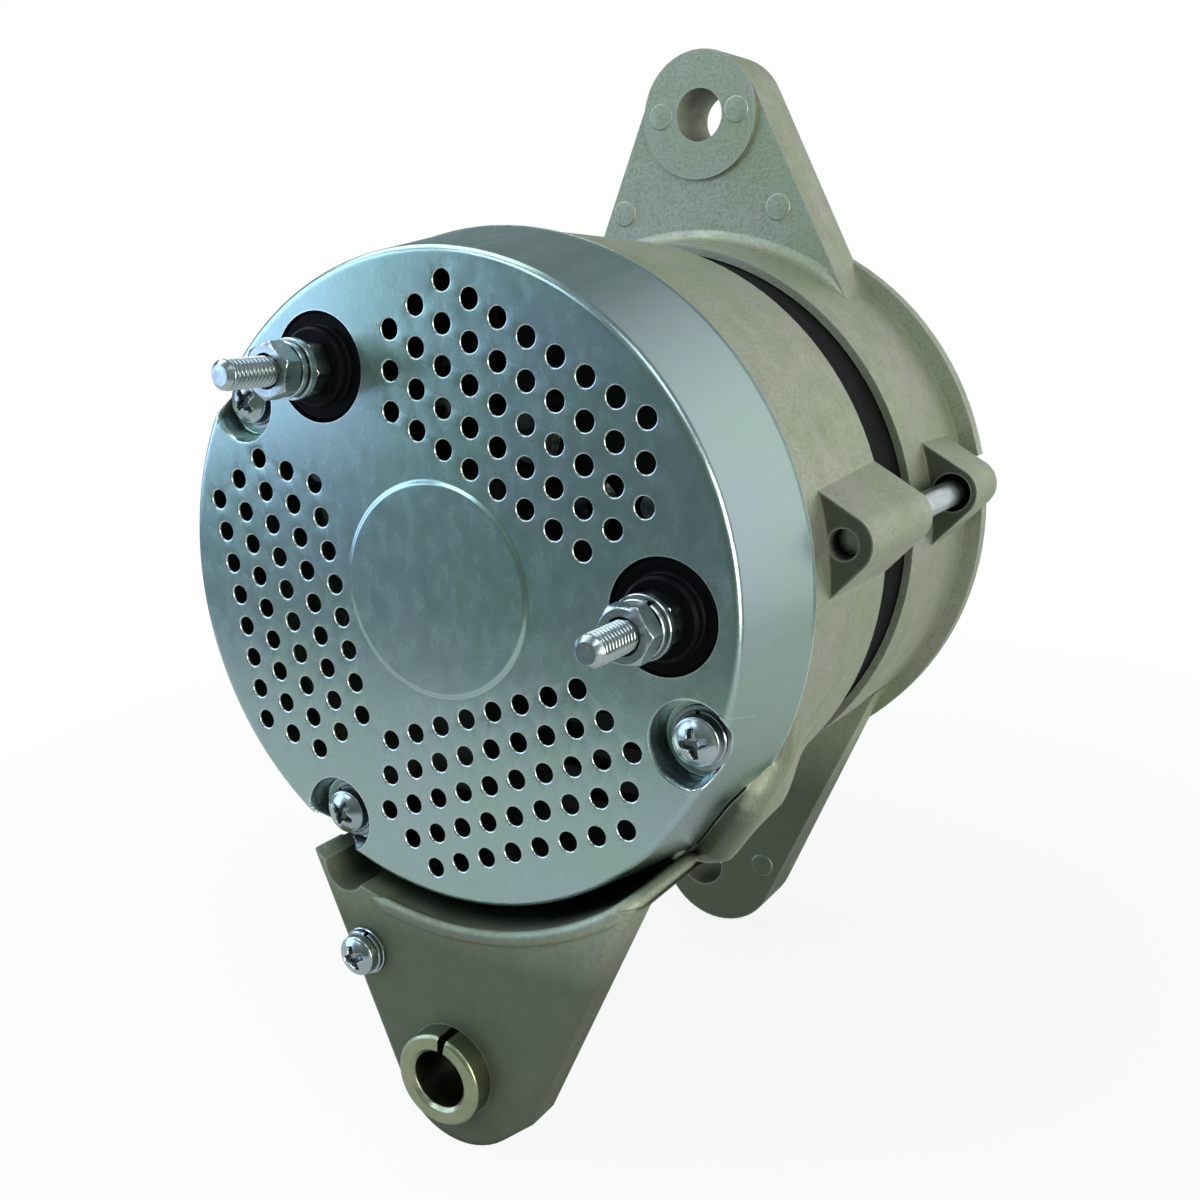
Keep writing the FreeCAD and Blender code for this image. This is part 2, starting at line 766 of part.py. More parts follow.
def make_hole_groups():
    """Punches for the air holes: rows square to the radius, each one hole shorter than the row nearer the middle."""
    group = new_body("HoleGroup")
    outer_rows = round(value("hole_outer_rows"))
    for i in range(-outer_rows, outer_rows + 1):
        count = f"(hole_middle_row - {abs(i)})"
        sketch = across(group, f"HoleRow{i + outer_rows}", "cover_face - cut_over")
        first = f"-({count} - 1) / 2 * hole_pitch"
        draw_regular(sketch, f"{i} * hole_row_pitch", first, "hole_radius", "hole_sides")
        pad = extrude(group, "Pad", f"HolePunch{i + outer_rows}", sketch, "cover_sheet + 2 * cut_over")
        row_pattern = group.newObject("PartDesign::LinearPattern", f"HoleRowPattern{i + outer_rows}")
        row_pattern.Originals = [pad]
        row_pattern.Direction = (sketch, ["V_Axis"])
        bind(row_pattern, Length=f"({count} - 1) * hole_pitch", Occurrences=count)
        group.Tip = row_pattern
    punches = []
    for side in ("top", "left", "low"):
        angle = f"hole_angle_{side}"
        link = doc.addObject("App::Link", f"HoleGroup_{side}")
        link.LinkedObject = group
        link.Placement = FreeCAD.Placement(FreeCAD.Vector(), FreeCAD.Rotation(FreeCAD.Vector(0, -1, 0), value(angle)))
        x, z = polar("hole_group_circle", angle)
        link.setExpression(".Placement.Base.x", bound(x))
        link.setExpression(".Placement.Base.z", bound(z))
        link.setExpression(".Placement.Rotation.Angle", bound(angle))
        punches.append(link)
    compound = doc.addObject("Part::Compound", "HoleGroups")
    compound.Links = punches
    return compound


def add_bolt_bosses(body, name, face, length):
    """Three wing-shaped bosses on the outside of a drum, one for each through bolt."""
    sketch = across(body, f"{name}Outline", face, "bolt_angle")
    draw_lug(
        sketch,
        ("boss_root_radius", "-boss_root_half_width"),
        ("boss_root_radius", "boss_root_half_width"),
        ("bolt_circle", "0"),
        "boss_radius",
    )
    pad = extrude(body, "Pad", f"{name}Pad", sketch, length)
    return repeat(body, f"{name}Pattern", pad, sketch, "bolt_count")


def bore_bolt_holes(body, name, place, radius, depth, towards_drive_end=True):
    sketch = across(body, f"{name}Outline", place, "bolt_angle")
    draw_circle(sketch, "bolt_circle", "0", radius)
    pocket = extrude(body, "Pocket", f"{name}Pocket", sketch, depth, towards_drive_end)
    return repeat(body, f"{name}Pattern", pocket, sketch, "bolt_count")


def make_rear_bracket():
    """The slip-ring end casting: drum, wall, bearing boss, posts, bolt bosses and the long pivot ear."""
    body = new_body("RearBracket")
    turn_about_shaft(
        body,
        "RearDrum",
        [
            ("spigot_radius - spigot_wall", "rear_drum_start - spigot_length"),
            ("spigot_radius", "rear_drum_start - spigot_length"),
            ("spigot_radius", "rear_drum_start"),
            ("rear_drum_radius", "rear_drum_start"),
            ("rear_drum_end_radius", "rear_drum_end"),
            ("core_radius + slack", "rear_drum_end"),
            ("core_radius + slack", "core_rear"),
            ("drum_bore", "core_rear"),
            ("drum_bore", "rear_wall_front"),
            ("rear_boss_radius", "rear_wall_front"),
            ("rear_boss_radius", "rear_bearing_front"),
            ("rear_bearing_outer + fit_gap", "rear_bearing_front"),
            ("rear_bearing_outer + fit_gap", "rear_bearing_rear"),
            ("rear_bearing_outer - bearing_lip_width", "rear_bearing_rear"),
            ("rear_bearing_outer - bearing_lip_width", "rear_wall_rear"),
            ("spigot_radius - spigot_wall", "rear_wall_rear"),
        ],
    )
    add_bolt_bosses(body, "RearBosses", "rear_boss_face", "rear_drum_end - rear_boss_face")

    ear = across(body, "RearEarOutline", "rear_ear_face")
    draw_foot(ear)
    extrude(body, "Pad", "RearEarPad", ear, "rear_ear_thickness")
    outline = {"rear_ear_face": lambda v: math.hypot(v.x, v.z) > value("spigot_radius")}
    round_edges(body, "RearEarEdge", "rear_ear_rounding", lambda e: lies_on(e, outline))
    rib = across(body, "EarRibOutline", "rear_ear_face + rear_ear_rounding + slack")
    draw_lug(
        rib,
        ("-ear_rib_half_width", "-spigot_radius"),
        ("ear_rib_half_width", "-spigot_radius"),
        ("pivot_side", "-pivot_drop"),
        "ear_boss_radius",
    )
    extrude(body, "Pad", "EarRibPad", rib, "ear_boss_length - rear_ear_rounding - slack")
    skirt = across(body, "SkirtOutline", "rear_ear_face + rear_ear_rounding + slack")
    steps = 10
    turn = "(skirt_right_angle - skirt_left_angle)"
    draw_polygon(
        skirt, [polar("skirt_radius", f"(skirt_left_angle + {i} * {turn} / {steps})") for i in range(steps + 1)]
    )
    extrude(body, "Pad", "SkirtPad", skirt, "rear_drum_start - rear_ear_face - rear_ear_rounding")
    wall = across(body, "PocketWall", "rear_ear_face + rear_ear_rounding + slack")
    draw_circle(wall, *polar("pocket_circle", "pocket_angle"), "pocket_radius + pocket_wall")
    extrude(body, "Pad", "PocketWallPad", wall, "rear_drum_start - rear_ear_face - rear_ear_rounding")
    hollow = across(body, "EarHollow", "rear_ear_face - cut_over")
    draw_circle(hollow, "0", "0", "spigot_radius - spigot_wall")
    extrude(body, "Pocket", "EarHollowPocket", hollow, "rear_wall_rear - rear_ear_face + cut_over")
    lip = across(body, "LipCircle", "rear_ear_face - cut_over")
    draw_circle(lip, "0", "0", "lip_radius")
    extrude(body, "Pocket", "LipPocket", lip, "rear_drum_start - spigot_length - rear_ear_face + cut_over")
    seat = across(body, "CoverSeatRing", "rear_drum_start - spigot_length")
    draw_circle(seat, "0", "0", "spigot_radius")
    draw_circle(seat, "0", "0", "lip_radius")
    extrude(body, "Pocket", "CoverSeatPocket", seat, "spigot_length")

    posts = across(body, "CoverPosts", "rear_wall_rear")
    for u, v in COVER_SCREWS:
        draw_circle(posts, u, v, "post_radius")
    extrude(body, "Pad", "CoverPostPad", posts, "rear_wall_rear - dent_floor - cover_sheet", False)
    for sign, height in (("positive", "insulating_ring_thickness"), ("negative", "0")):
        sinks = across(body, f"SinkPosts_{sign}", "rear_wall_rear")
        for u, v in sink_screw_spots(sign):
            draw_circle(sinks, u, v, "post_radius")
        extrude(body, "Pad", f"SinkPostPad_{sign}", sinks, f"rear_wall_rear - sink_front - {height}", False)

    vents = across(body, "RearVents", "rear_wall_rear")
    for side in ("right", "upper_right", "upper_left", "left", "lower_left"):
        draw_circle(vents, *polar("vent_circle", f"vent_angle_{side}"), "vent_radius")
    extrude(body, "Pocket", "RearVentPocket", vents, "rear_wall_thickness")

    threads = across(body, "PostThreads", "dent_floor + cover_sheet")
    for u, v in COVER_SCREWS:
        draw_circle(threads, u, v, "cover_screw_radius + fit_gap")
    extrude(body, "Pocket", "PostThreadPocket", threads, "cover_screw_length")
    for sign, height in (("positive", "insulating_ring_thickness"), ("negative", "0")):
        taps = across(body, f"SinkThreads_{sign}", f"sink_front + {height}")
        for u, v in sink_screw_spots(sign):
            draw_circle(taps, u, v, "small_screw_radius + fit_gap")
        extrude(body, "Pocket", f"SinkThreadPocket_{sign}", taps, "small_screw_length")
    lugs = across(body, "HolderThreads", "rear_wall_rear")
    for u, v in HOLDER_SCREWS:
        draw_circle(lugs, u, v, "small_screw_radius + fit_gap")
    extrude(body, "Pocket", "HolderThreadPocket", lugs, "small_screw_length - holder_lug_height")

    bore_bolt_holes(body, "RearBoltBores", "rear_boss_face - slack", "bolt_radius + fit_gap",
                    "rear_drum_end - rear_boss_face + 2 * cut_over")
    access = across(body, "EarPocket", "rear_ear_face - cut_over", "pocket_angle")
    draw_circle(access, "pocket_circle", "0", "pocket_radius")
    extrude(body, "Pocket", "EarPocketRound", access, "pocket_depth + cut_over")
    throat = across(body, "EarPocketThroat", "rear_ear_face - cut_over", "pocket_angle")
    draw_block(throat, "spigot_radius", "pocket_circle", "-pocket_radius", "pocket_radius")
    extrude(body, "Pocket", "EarPocketSlot", throat, "pocket_depth + cut_over")
    pivot = across(body, "RearPivot", "rear_ear_face - cut_over")
    draw_circle(pivot, "pivot_side", "-pivot_drop", "bush_radius + fit_gap")
    extrude(body, "Pocket", "RearPivotPocket", pivot, "ear_boss_length + 2 * cut_over")
    ground = across(body, "GroundThread", "rear_ear_face")
    draw_circle(ground, "-ground_screw_side", "-ground_screw_drop", "ground_screw_radius + fit_gap")
    extrude(body, "Pocket", "GroundThreadPocket", ground, "ground_screw_length")
    return keep(body, "rear_bracket")


HOLDER_SCREWS = [
    (f"{side} * (brush_width / 2 + holder_wall + holder_lug / 2)", "-holder_lug_drop") for side in ("-1", "1")
]


def sink_screw_spots(sign):
    return [
        polar("sink_screw_circle", f"({sign}_sink_angle + {sign}_screw_{which})") for which in ("first", "second")
    ]


EAR_BORES = [
    ("Top", "top_ear_rear - pad_rise", "top_ear_thickness + pad_rise", "0", "top_ear_height"),
    ("Pivot", "front_ear_rear", "front_ear_thickness", "pivot_side", "-pivot_drop"),
]


def make_front_bracket():
    """The drive end casting: drum, flange, vented wall, bearing boss, bolt bosses, adjusting ear and pivot ear."""
    body = new_body("FrontBracket")
    turn_about_shaft(
        body,
        "FrontDrum",
        [
            ("core_radius + slack", "front_drum_end"),
            ("front_drum_radius", "front_drum_end"),
            ("front_drum_root_radius", "flange_rear"),
            ("flange_radius", "flange_rear"),
            ("flange_radius", "flange_front"),
            ("front_boss_radius", "flange_front"),
            ("front_boss_nose_radius", "front_boss_front"),
            ("front_bearing_outer - bearing_lip_width", "front_boss_front"),
            ("front_bearing_outer - bearing_lip_width", "front_bearing_front"),
            ("front_bearing_outer + fit_gap", "front_bearing_front"),
            ("front_bearing_outer + fit_gap", "front_bearing_rear"),
            ("front_boss_radius", "front_bearing_rear"),
            ("front_boss_radius", "flange_rear"),
            ("drum_bore", "flange_rear"),
            ("drum_bore", "core_front"),
            ("core_radius + slack", "core_front"),
        ],
    )
    notch = across(body, "FlangeNotch", "bolt_end_face", "bolt_angle")
    draw_circle(notch, "bolt_circle", "0", "flange_notch_radius")
    notched = extrude(body, "Pocket", "FlangeNotchPocket", notch, "front_boss_setback + cut_over")
    repeat(body, "FlangeNotches", notched, notch, "bolt_count")
    add_bolt_bosses(body, "FrontBosses", "front_boss_face", "front_boss_length")
    top = across(body, "TopEarOutline", "top_ear_rear")
    draw_lug(
        top,
        ("top_ear_right", "top_ear_root"),
        ("-top_ear_left", "top_ear_root"),
        ("0", "top_ear_height"),
        "top_ear_radius",
    )
    extrude(body, "Pad", "TopEarPad", top, "top_ear_thickness")
    low = across(body, "FrontEarOutline", "front_ear_rear")
    draw_lug(
        low,
        ("-front_ear_left", "-front_ear_root"),
        ("front_ear_right", "-front_ear_root"),
        ("front_ear_side", "-front_ear_drop"),
        "front_ear_radius",
    )
    extrude(body, "Pad", "FrontEarPad", low, "front_ear_thickness")
    pad = across(body, "TopEarPadRing", "top_ear_rear - pad_rise")
    draw_circle(pad, "0", "top_ear_height", "pad_radius")
    extrude(body, "Pad", "TopEarPadDisc", pad, "pad_rise")

    inside = across(body, "DrumInside", "front_drum_end - cut_over")
    draw_circle(inside, "0", "0", "drum_bore")
    draw_circle(inside, "0", "0", "front_boss_radius")
    extrude(body, "Pocket", "DrumInsidePocket", inside, "flange_rear - front_drum_end + cut_over")

    window = across(body, "FrontVentOutline", "flange_rear - cut_over")
    draw_polygon(
        window,
        [
            ("front_vent_inner", "-(front_vent_inner * tan(180 / front_vent_count) - front_vent_rib / 2)"),
            ("front_vent_outer", "-(front_vent_outer * tan(180 / front_vent_count) - front_vent_rib / 2)"),
            ("front_vent_outer", "front_vent_outer * tan(180 / front_vent_count) - front_vent_rib / 2"),
            ("front_vent_inner", "front_vent_inner * tan(180 / front_vent_count) - front_vent_rib / 2"),
        ],
    )
    pocket = extrude(body, "Pocket", "FrontVentPocket", window, "flange_thickness + 2 * cut_over")
    repeat(body, "FrontVentPattern", pocket, window, "front_vent_count")

    bore_bolt_holes(body, "BoltCounterbores", "front_boss_face - cut_over", "boss_counterbore_radius",
                    "boss_counterbore_depth + cut_over")
    bore_bolt_holes(body, "FrontBoltBores", "front_boss_face - cut_over", "bolt_radius + slack",
                    "front_boss_length + 2 * cut_over")
    bore_bolt_holes(body, "BoltHeadRooms", "bolt_seat", "bolt_head_room", "flange_front - bolt_seat + cut_over")
    screws = across(body, "RetainerThreads", "front_bearing_rear", "bolt_angle")
    draw_circle(screws, "retainer_screw_circle", "0", "retainer_screw_radius + fit_gap")
    threads = extrude(body, "Pocket", "RetainerThreadPocket", screws, "retainer_screw_length - retainer_thickness")
    repeat(body, "RetainerThreadPattern", threads, screws, "bolt_count")
    for name, face, depth, u, v in EAR_BORES:
        bore = across(body, f"{name}EarBore", f"{face} - cut_over")
        draw_circle(bore, u, v, "ear_bore_radius")
        extrude(body, "Pocket", f"{name}EarBorePocket", bore, f"{depth} + 2 * cut_over")
    return keep(body, "front_bracket")


def make_pivot_bush():
    """A rolled steel bush with its seam open, a press fit in the rear ear."""
    body = new_body("PivotBush")
    sketch = across(body, "BushRing", "bush_rear")
    draw_circle(sketch, "pivot_side", "-pivot_drop", "bush_radius")
    draw_circle(sketch, "pivot_side", "-pivot_drop", "bush_bore_radius")
    extrude(body, "Pad", "BushPad", sketch, "bush_front - bush_rear")
    slit = across(body, "BushSlit", "bush_rear - cut_over")
    reach = ("bush_bore_radius * 0.8", "bush_radius + cut_over")
    points = []
    for along, side in ((reach[0], "-1"), (reach[1], "-1"), (reach[1], "1"), (reach[0], "1")):
        half = f"{side} * bush_slit / 2"
        points.append(
            (
                f"pivot_side + ({along}) * cos(bush_slit_angle) - {half} * sin(bush_slit_angle)",
                f"-pivot_drop + ({along}) * sin(bush_slit_angle) + {half} * cos(bush_slit_angle)",
            )
        )
    draw_polygon(slit, points)
    extrude(body, "Pocket", "BushSlitPocket", slit, "bush_front - bush_rear + 2 * cut_over")
    return keep(body, "pivot_bush")


def make_stator():
    """The slotted core clamped between the brackets, and its winding with a coil head at each end."""
    core = new_body("StatorCore")
    ringed = across(core, "CoreRing", "core_rear")
    draw_circle(ringed, "0", "0", "core_radius")
    draw_circle(ringed, "0", "0", "core_bore")
    extrude(core, "Pad", "CorePad", ringed, "core_front - core_rear")
    slot = across(core, "CoreSlot", "core_rear - cut_over")
    lip = "core_bore + slot_lip"
    draw_polygon(
        slot,
        [
            ("core_bore - cut_over", "-slot_mouth / 2"),
            (lip, "-slot_mouth / 2"),
            (lip, "-slot_width / 2"),
            ("core_bore + slot_depth", "-slot_width / 2"),
            ("core_bore + slot_depth", "slot_width / 2"),
            (lip, "slot_width / 2"),
            (lip, "slot_mouth / 2"),
            ("core_bore - cut_over", "slot_mouth / 2"),
        ],
    )
    pocket = extrude(core, "Pocket", "CoreSlotPocket", slot, "core_front - core_rear + 2 * cut_over")
    repeat(core, "CoreSlots", pocket, slot, "slot_count")
    keep(core, "stator_core")

    winding = new_body("StatorWinding")
    turn_about_shaft(
        winding,
        "RearCoilHead",
        [
            ("coil_head_inner", "core_rear - slack"),
            ("coil_head_inner", "core_rear - coil_head_length * 0.8"),
            ("coil_head_inner + 2", "core_rear - coil_head_length"),
            ("coil_head_outer - 2", "core_rear - coil_head_length"),
            ("coil_head_outer", "core_rear - coil_head_length * 0.8"),
            ("coil_head_outer - 1", "core_rear - slack"),
        ],
    )
    bar = across(winding, "SlotBar", "core_rear - slack - 1")
    inner = "core_bore + slot_lip + slack"
    outer = "core_bore + slot_depth - slack"
    half = "(slot_width / 2 - slack)"
    draw_polygon(bar, [(inner, f"-{half}"), (outer, f"-{half}"), (outer, half), (inner, half)])
    pad = extrude(winding, "Pad", "SlotBarPad", bar, "core_front - core_rear + 2 * slack + 2")
    repeat(winding, "SlotBars", pad, bar, "slot_count")
    sketch = plane_sketch(winding, "XY_Plane", "FrontCoilHeadOutline")
    draw_polygon(
        sketch,
        [
            ("coil_head_inner", "core_front + slack"),
            ("coil_head_inner", "core_front + coil_head_length * 0.8"),
            ("coil_head_inner + 2", "core_front + coil_head_length"),
            ("coil_head_outer - 2", "core_front + coil_head_length"),
            ("coil_head_outer", "core_front + coil_head_length * 0.8"),
            ("coil_head_outer - 1", "core_front + slack"),
        ],
    )
    head = winding.newObject("PartDesign::Revolution", "FrontCoilHead")
    head.Profile = sketch
    head.ReferenceAxis = (sketch, ["V_Axis"])
    head.Angle = 360
    keep(winding, "stator_winding")


def claw_section(body, name, place, inner, half_width, turn):
    sketch = across(body, name, place, turn)
    outer = "rotor_radius + cut_over"
    draw_polygon(
        sketch,
        [
            (inner, f"-{half_width}"),
            (outer, f"-{half_width}"),
            (outer, half_width),
            (inner, half_width),
        ],
    )
    return sketch


def make_claw_pole(label, inner_face, outer_face, tip, turn, forward):
    """Half of the rotor's iron: a core, a plate with six arms, and a tapered claw from each arm."""
    name = "".join(word.title() for word in label.split("_"))
    body = new_body(name)
    rear, front = (outer_face, inner_face) if forward else (inner_face, outer_face)
    middle = "rotor_middle - fit_gap" if forward else "rotor_middle + fit_gap"
    bore = "shaft_core_radius + fit_gap"
    turn_about_shaft(
        body,
        f"{name}Plate",
        [
            (bore, outer_face),
            ("pole_plate_radius", outer_face),
            ("pole_plate_radius", inner_face),
            ("pole_core_radius", inner_face),
            ("pole_core_radius", middle),
            (bore, middle),
        ],
    )
    root = claw_section(body, f"{name}Root", rear, "pole_plate_radius - cut_over * 2", "claw_root_half_width", turn)
    arm = extrude(body, "Pad", f"{name}Arm", root, f"{front} - ({rear})")
    near = claw_section(body, f"{name}ClawRoot", inner_face, "claw_root_inner", "claw_root_half_width", turn)
    far = claw_section(body, f"{name}ClawTip", tip, "claw_tip_inner", "claw_tip_half_width", turn)
    claw = body.newObject("PartDesign::AdditiveLoft", f"{name}Claw")
    claw.Profile = near
    claw.Sections = [far]
    pattern = body.newObject("PartDesign::PolarPattern", f"{name}Claws")
    pattern.Originals = [arm, claw]
    pattern.Axis = (root, ["N_Axis"])
    pattern.Angle = 360
    bind(pattern, Occurrences="claw_count")
    body.Tip = pattern
    trim = across(body, f"{name}Trim", f"{rear} - pole_plate - coil_width")
    draw_circle(trim, "0", "0", "rotor_radius")
    draw_circle(trim, "0", "0", "rotor_radius + 4 * cut_over")
    extrude(body, "Pocket", f"{name}TrimPocket", trim, "3 * (pole_plate + coil_width)")
    return keep(body, label)


def make_rotor():
    shaft = turned(
        "RotorShaft",
        [
            ("0", "shaft_rear"),
            ("shaft_tail_radius", "shaft_rear"),
            ("shaft_tail_radius", "rear_bearing_rear - slack"),
            ("rear_bearing_inner", "rear_bearing_rear - slack"),
            ("rear_bearing_inner", "rear_bearing_front"),
            ("shaft_rear_step_radius", "rear_bearing_front"),
            ("shaft_rear_step_radius", "rear_pole_outer"),
            ("shaft_core_radius", "rear_pole_outer"),
            ("shaft_core_radius", "front_bearing_rear"),
            ("front_bearing_inner", "front_bearing_rear"),
            ("front_bearing_inner", "nut_seat - 1"),
            ("shaft_thread_radius", "nut_seat - 1"),
            ("shaft_thread_radius", "shaft_front - 1"),
            ("shaft_thread_radius - 1", "shaft_front"),
            ("0", "shaft_front"),
        ],
    )
    seat = across(shaft, "KeySeat", "-key_length / 2")
    half = "key_width / 2 + fit_gap"
    low = "front_bearing_inner - key_height / 2"
    high = "front_bearing_inner + cut_over"
    draw_polygon(seat, [(f"-({half})", low), (half, low), (half, high), (f"-({half})", high)])
    extrude(shaft, "Pocket", "KeySeatPocket", seat, "key_length")
    keep(shaft, "rotor_shaft")
    make_claw_pole(
        "rear_claw_pole", "rear_pole_inner", "rear_pole_outer", "front_pole_outer - claw_end_gap", "0", True
    )
    make_claw_pole(
        "front_claw_pole",
        "front_pole_inner",
        "front_pole_outer",
        "rear_pole_outer + claw_end_gap",
        "180 / claw_count",
        False,
    )
    bobbin = turned(
        "FieldBobbin",
        [
            ("pole_core_radius + slack", "rear_pole_inner + fit_gap"),
            ("coil_radius", "rear_pole_inner + fit_gap"),
            ("coil_radius", "rear_pole_inner + fit_gap + bobbin_wall"),
            ("pole_core_radius + slack + bobbin_wall", "rear_pole_inner + fit_gap + bobbin_wall"),
            ("pole_core_radius + slack + bobbin_wall", "front_pole_inner - fit_gap - bobbin_wall"),
            ("coil_radius", "front_pole_inner - fit_gap - bobbin_wall"),
            ("coil_radius", "front_pole_inner - fit_gap"),
            ("pole_core_radius + slack", "front_pole_inner - fit_gap"),
        ],
    )
    keep(bobbin, "field_bobbin")
    coil = ring(
        "FieldCoil",
        "pole_core_radius + slack + bobbin_wall + fit_gap",
        "coil_radius - 0.5",
        "rear_pole_inner + 2 * fit_gap + bobbin_wall",
        "front_pole_inner - 2 * fit_gap - bobbin_wall",
    )
    keep(coil, "field_coil")
    sleeve = ring(
        "SlipRingSleeve", "shaft_tail_radius + fit_gap", "sleeve_radius", "shaft_rear", "shaft_rear + sleeve_length"
    )
    keep(sleeve, "slip_ring_sleeve")
    slip = ring("SlipRing", "sleeve_radius + fit_gap", "ring_radius", "first_ring", "first_ring + ring_width")
    set_out("slip_rings", slip, [("0", "0", "0"), ("0", "0", "ring_spacing")])


def make_bearing(which, count):
    """A shielded ball bearing: outer ring with its shields, inner ring, and the balls between them."""
    outer = f"{which}_bearing_outer"
    inner = f"{which}_bearing_inner"
    rear = f"{which}_bearing_rear"
    front = f"{which}_bearing_front"
    wall = "ring_thickness" if which == "front" else "rear_ring_thickness"
    ball = f"{which}_ball_radius"
    title = which.title()
    race = turned(
        f"{title}OuterRing",
        [
            (f"{inner} + {wall} + slack", rear),
            (outer, rear),
            (outer, front),
            (f"{inner} + {wall} + slack", front),
            (f"{inner} + {wall} + slack", f"{front} - shield_thickness"),
            (f"{outer} - {wall}", f"{front} - shield_thickness"),
            (f"{outer} - {wall}", f"{rear} + shield_thickness"),
            (f"{inner} + {wall} + slack", f"{rear} + shield_thickness"),
        ],
    )
    keep(race, f"{which}_bearing_outer_ring")
    cone = ring(f"{title}InnerRing", f"{inner} + fit_gap", f"{inner} + {wall}", rear, front)
    keep(cone, f"{which}_bearing_inner_ring")
    middle = f"({rear} + {front}) / 2"
    flat = f"{ball} * 0.41"
    orb = turned(
        f"{title}Ball",
        [
            ("0", f"-({ball})"),
            (flat, f"-({ball})"),
            (ball, f"-({flat})"),
            (ball, flat),
            (flat, ball),
            ("0", ball),
        ],
    )
    circle = f"(({outer}) + ({inner})) / 2"
    spots = []
    for i in range(round(value(count))):
        u, v = polar(circle, f"{i} * 360 / {count}")
        spots.append((u, v, middle))
    set_out(f"{which}_bearing_balls", orb, spots)


def make_retainer():
    plate = new_body("BearingRetainer")
    sketch = across(plate, "RetainerRing", "retainer_rear")
    draw_circle(sketch, "0", "0", "retainer_radius")
    draw_circle(sketch, "0", "0", "retainer_bore")
    extrude(plate, "Pad", "RetainerPad", sketch, "retainer_thickness")
    holes = across(plate, "RetainerHoles", "retainer_rear - cut_over", "bolt_angle")
    draw_circle(holes, "retainer_screw_circle", "0", "retainer_screw_radius + slack")
    pocket = extrude(plate, "Pocket", "RetainerHolePocket", holes, "retainer_thickness + 2 * cut_over")
    repeat(plate, "RetainerHolePattern", pocket, holes, "bolt_count")
    keep(plate, "bearing_retainer")
    fastener = screw(
        "RetainerScrew",
        "retainer_rear",
        "retainer_screw_radius",
        "retainer_screw_length",
        "retainer_head_radius",
        "retainer_head_height",
    )
    spots = [polar("retainer_screw_circle", f"(bolt_angle + {i} * 360 / bolt_count)") for i in range(3)]
    set_out("retainer_screws", fastener, spots)


def make_heat_sink(sign, terminal):
    """A plate in the shape of a sector, with its diodes pressed on and one terminal stud through it."""
    body = new_body(f"{sign.title()}Sink")
    outline = plane_sketch(body, "XY_Plane", f"{sign.title()}SinkOutline")
    draw_polygon(
        outline,
        [
            ("sink_inner", "sink_rear"),
            ("sink_outer", "sink_rear"),
            ("sink_outer", "sink_front"),
            ("sink_inner", "sink_front"),
        ],
    )
    sector = body.newObject("PartDesign::Revolution", f"{sign.title()}SinkSector")
    sector.Profile = outline
    sector.ReferenceAxis = (outline, ["V_Axis"])
    sector.Reversed = True
    bind(sector, Angle="sink_span")
    holes = across(body, f"{sign.title()}SinkHoles", "sink_rear - cut_over")
    start = f"{sign}_sink_angle"
    for which in ("first", "second"):
        draw_circle(holes, *polar("sink_screw_circle", f"{sign}_screw_{which}"), "small_screw_radius + slack")
    draw_circle(holes, *polar("terminal_circle", f"({terminal} - {start})"), "stud_radius + fit_gap")
    extrude(body, "Pocket", f"{sign.title()}SinkHolePocket", holes, "sink_thickness + 2 * cut_over")
    body.Placement = FreeCAD.Placement(FreeCAD.Vector(), FreeCAD.Rotation(FreeCAD.Vector(0, -1, 0), value(start)))
    body.setExpression(".Placement.Rotation.Angle", bound(start))
    keep(body, f"{sign}_heat_sink")

    diode = turned(
        f"{sign.title()}Diode",
        [
            ("0", "sink_rear - diode_height - 2"),
            ("1", "sink_rear - diode_height - 2"),
            ("1", "sink_rear - diode_height"),
            ("diode_radius - 1", "sink_rear - diode_height"),
            ("diode_radius", "sink_rear - diode_height + 1"),
            ("diode_radius", "sink_rear"),
            ("0", "sink_rear"),
        ],
    )
    spots = []
    for i in range(round(value("diode_count"))):
        spots.append(polar("diode_circle", f"({start} + diode_start + {i} * diode_pitch)"))
    set_out(f"{sign}_diodes", diode, spots)


def make_rectifier():
    make_heat_sink("positive", "terminal_angle_right")
    make_heat_sink("negative", "terminal_angle_left")
    spacer = ring(
        "InsulatingRing",
        "small_screw_radius + slack",
        "post_radius",
        "sink_front",
        "sink_front + insulating_ring_thickness",
    )
    set_out("sink_insulating_rings", spacer, sink_screw_spots("positive"))
    fastener = screw(
        "SinkScrew",
        "sink_rear",
        "small_screw_radius",
        "small_screw_length + sink_thickness",
        "small_head_radius",
        "small_head_height",
    )
    set_out("heat_sink_screws", fastener, sink_screw_spots("positive") + sink_screw_spots("negative"))


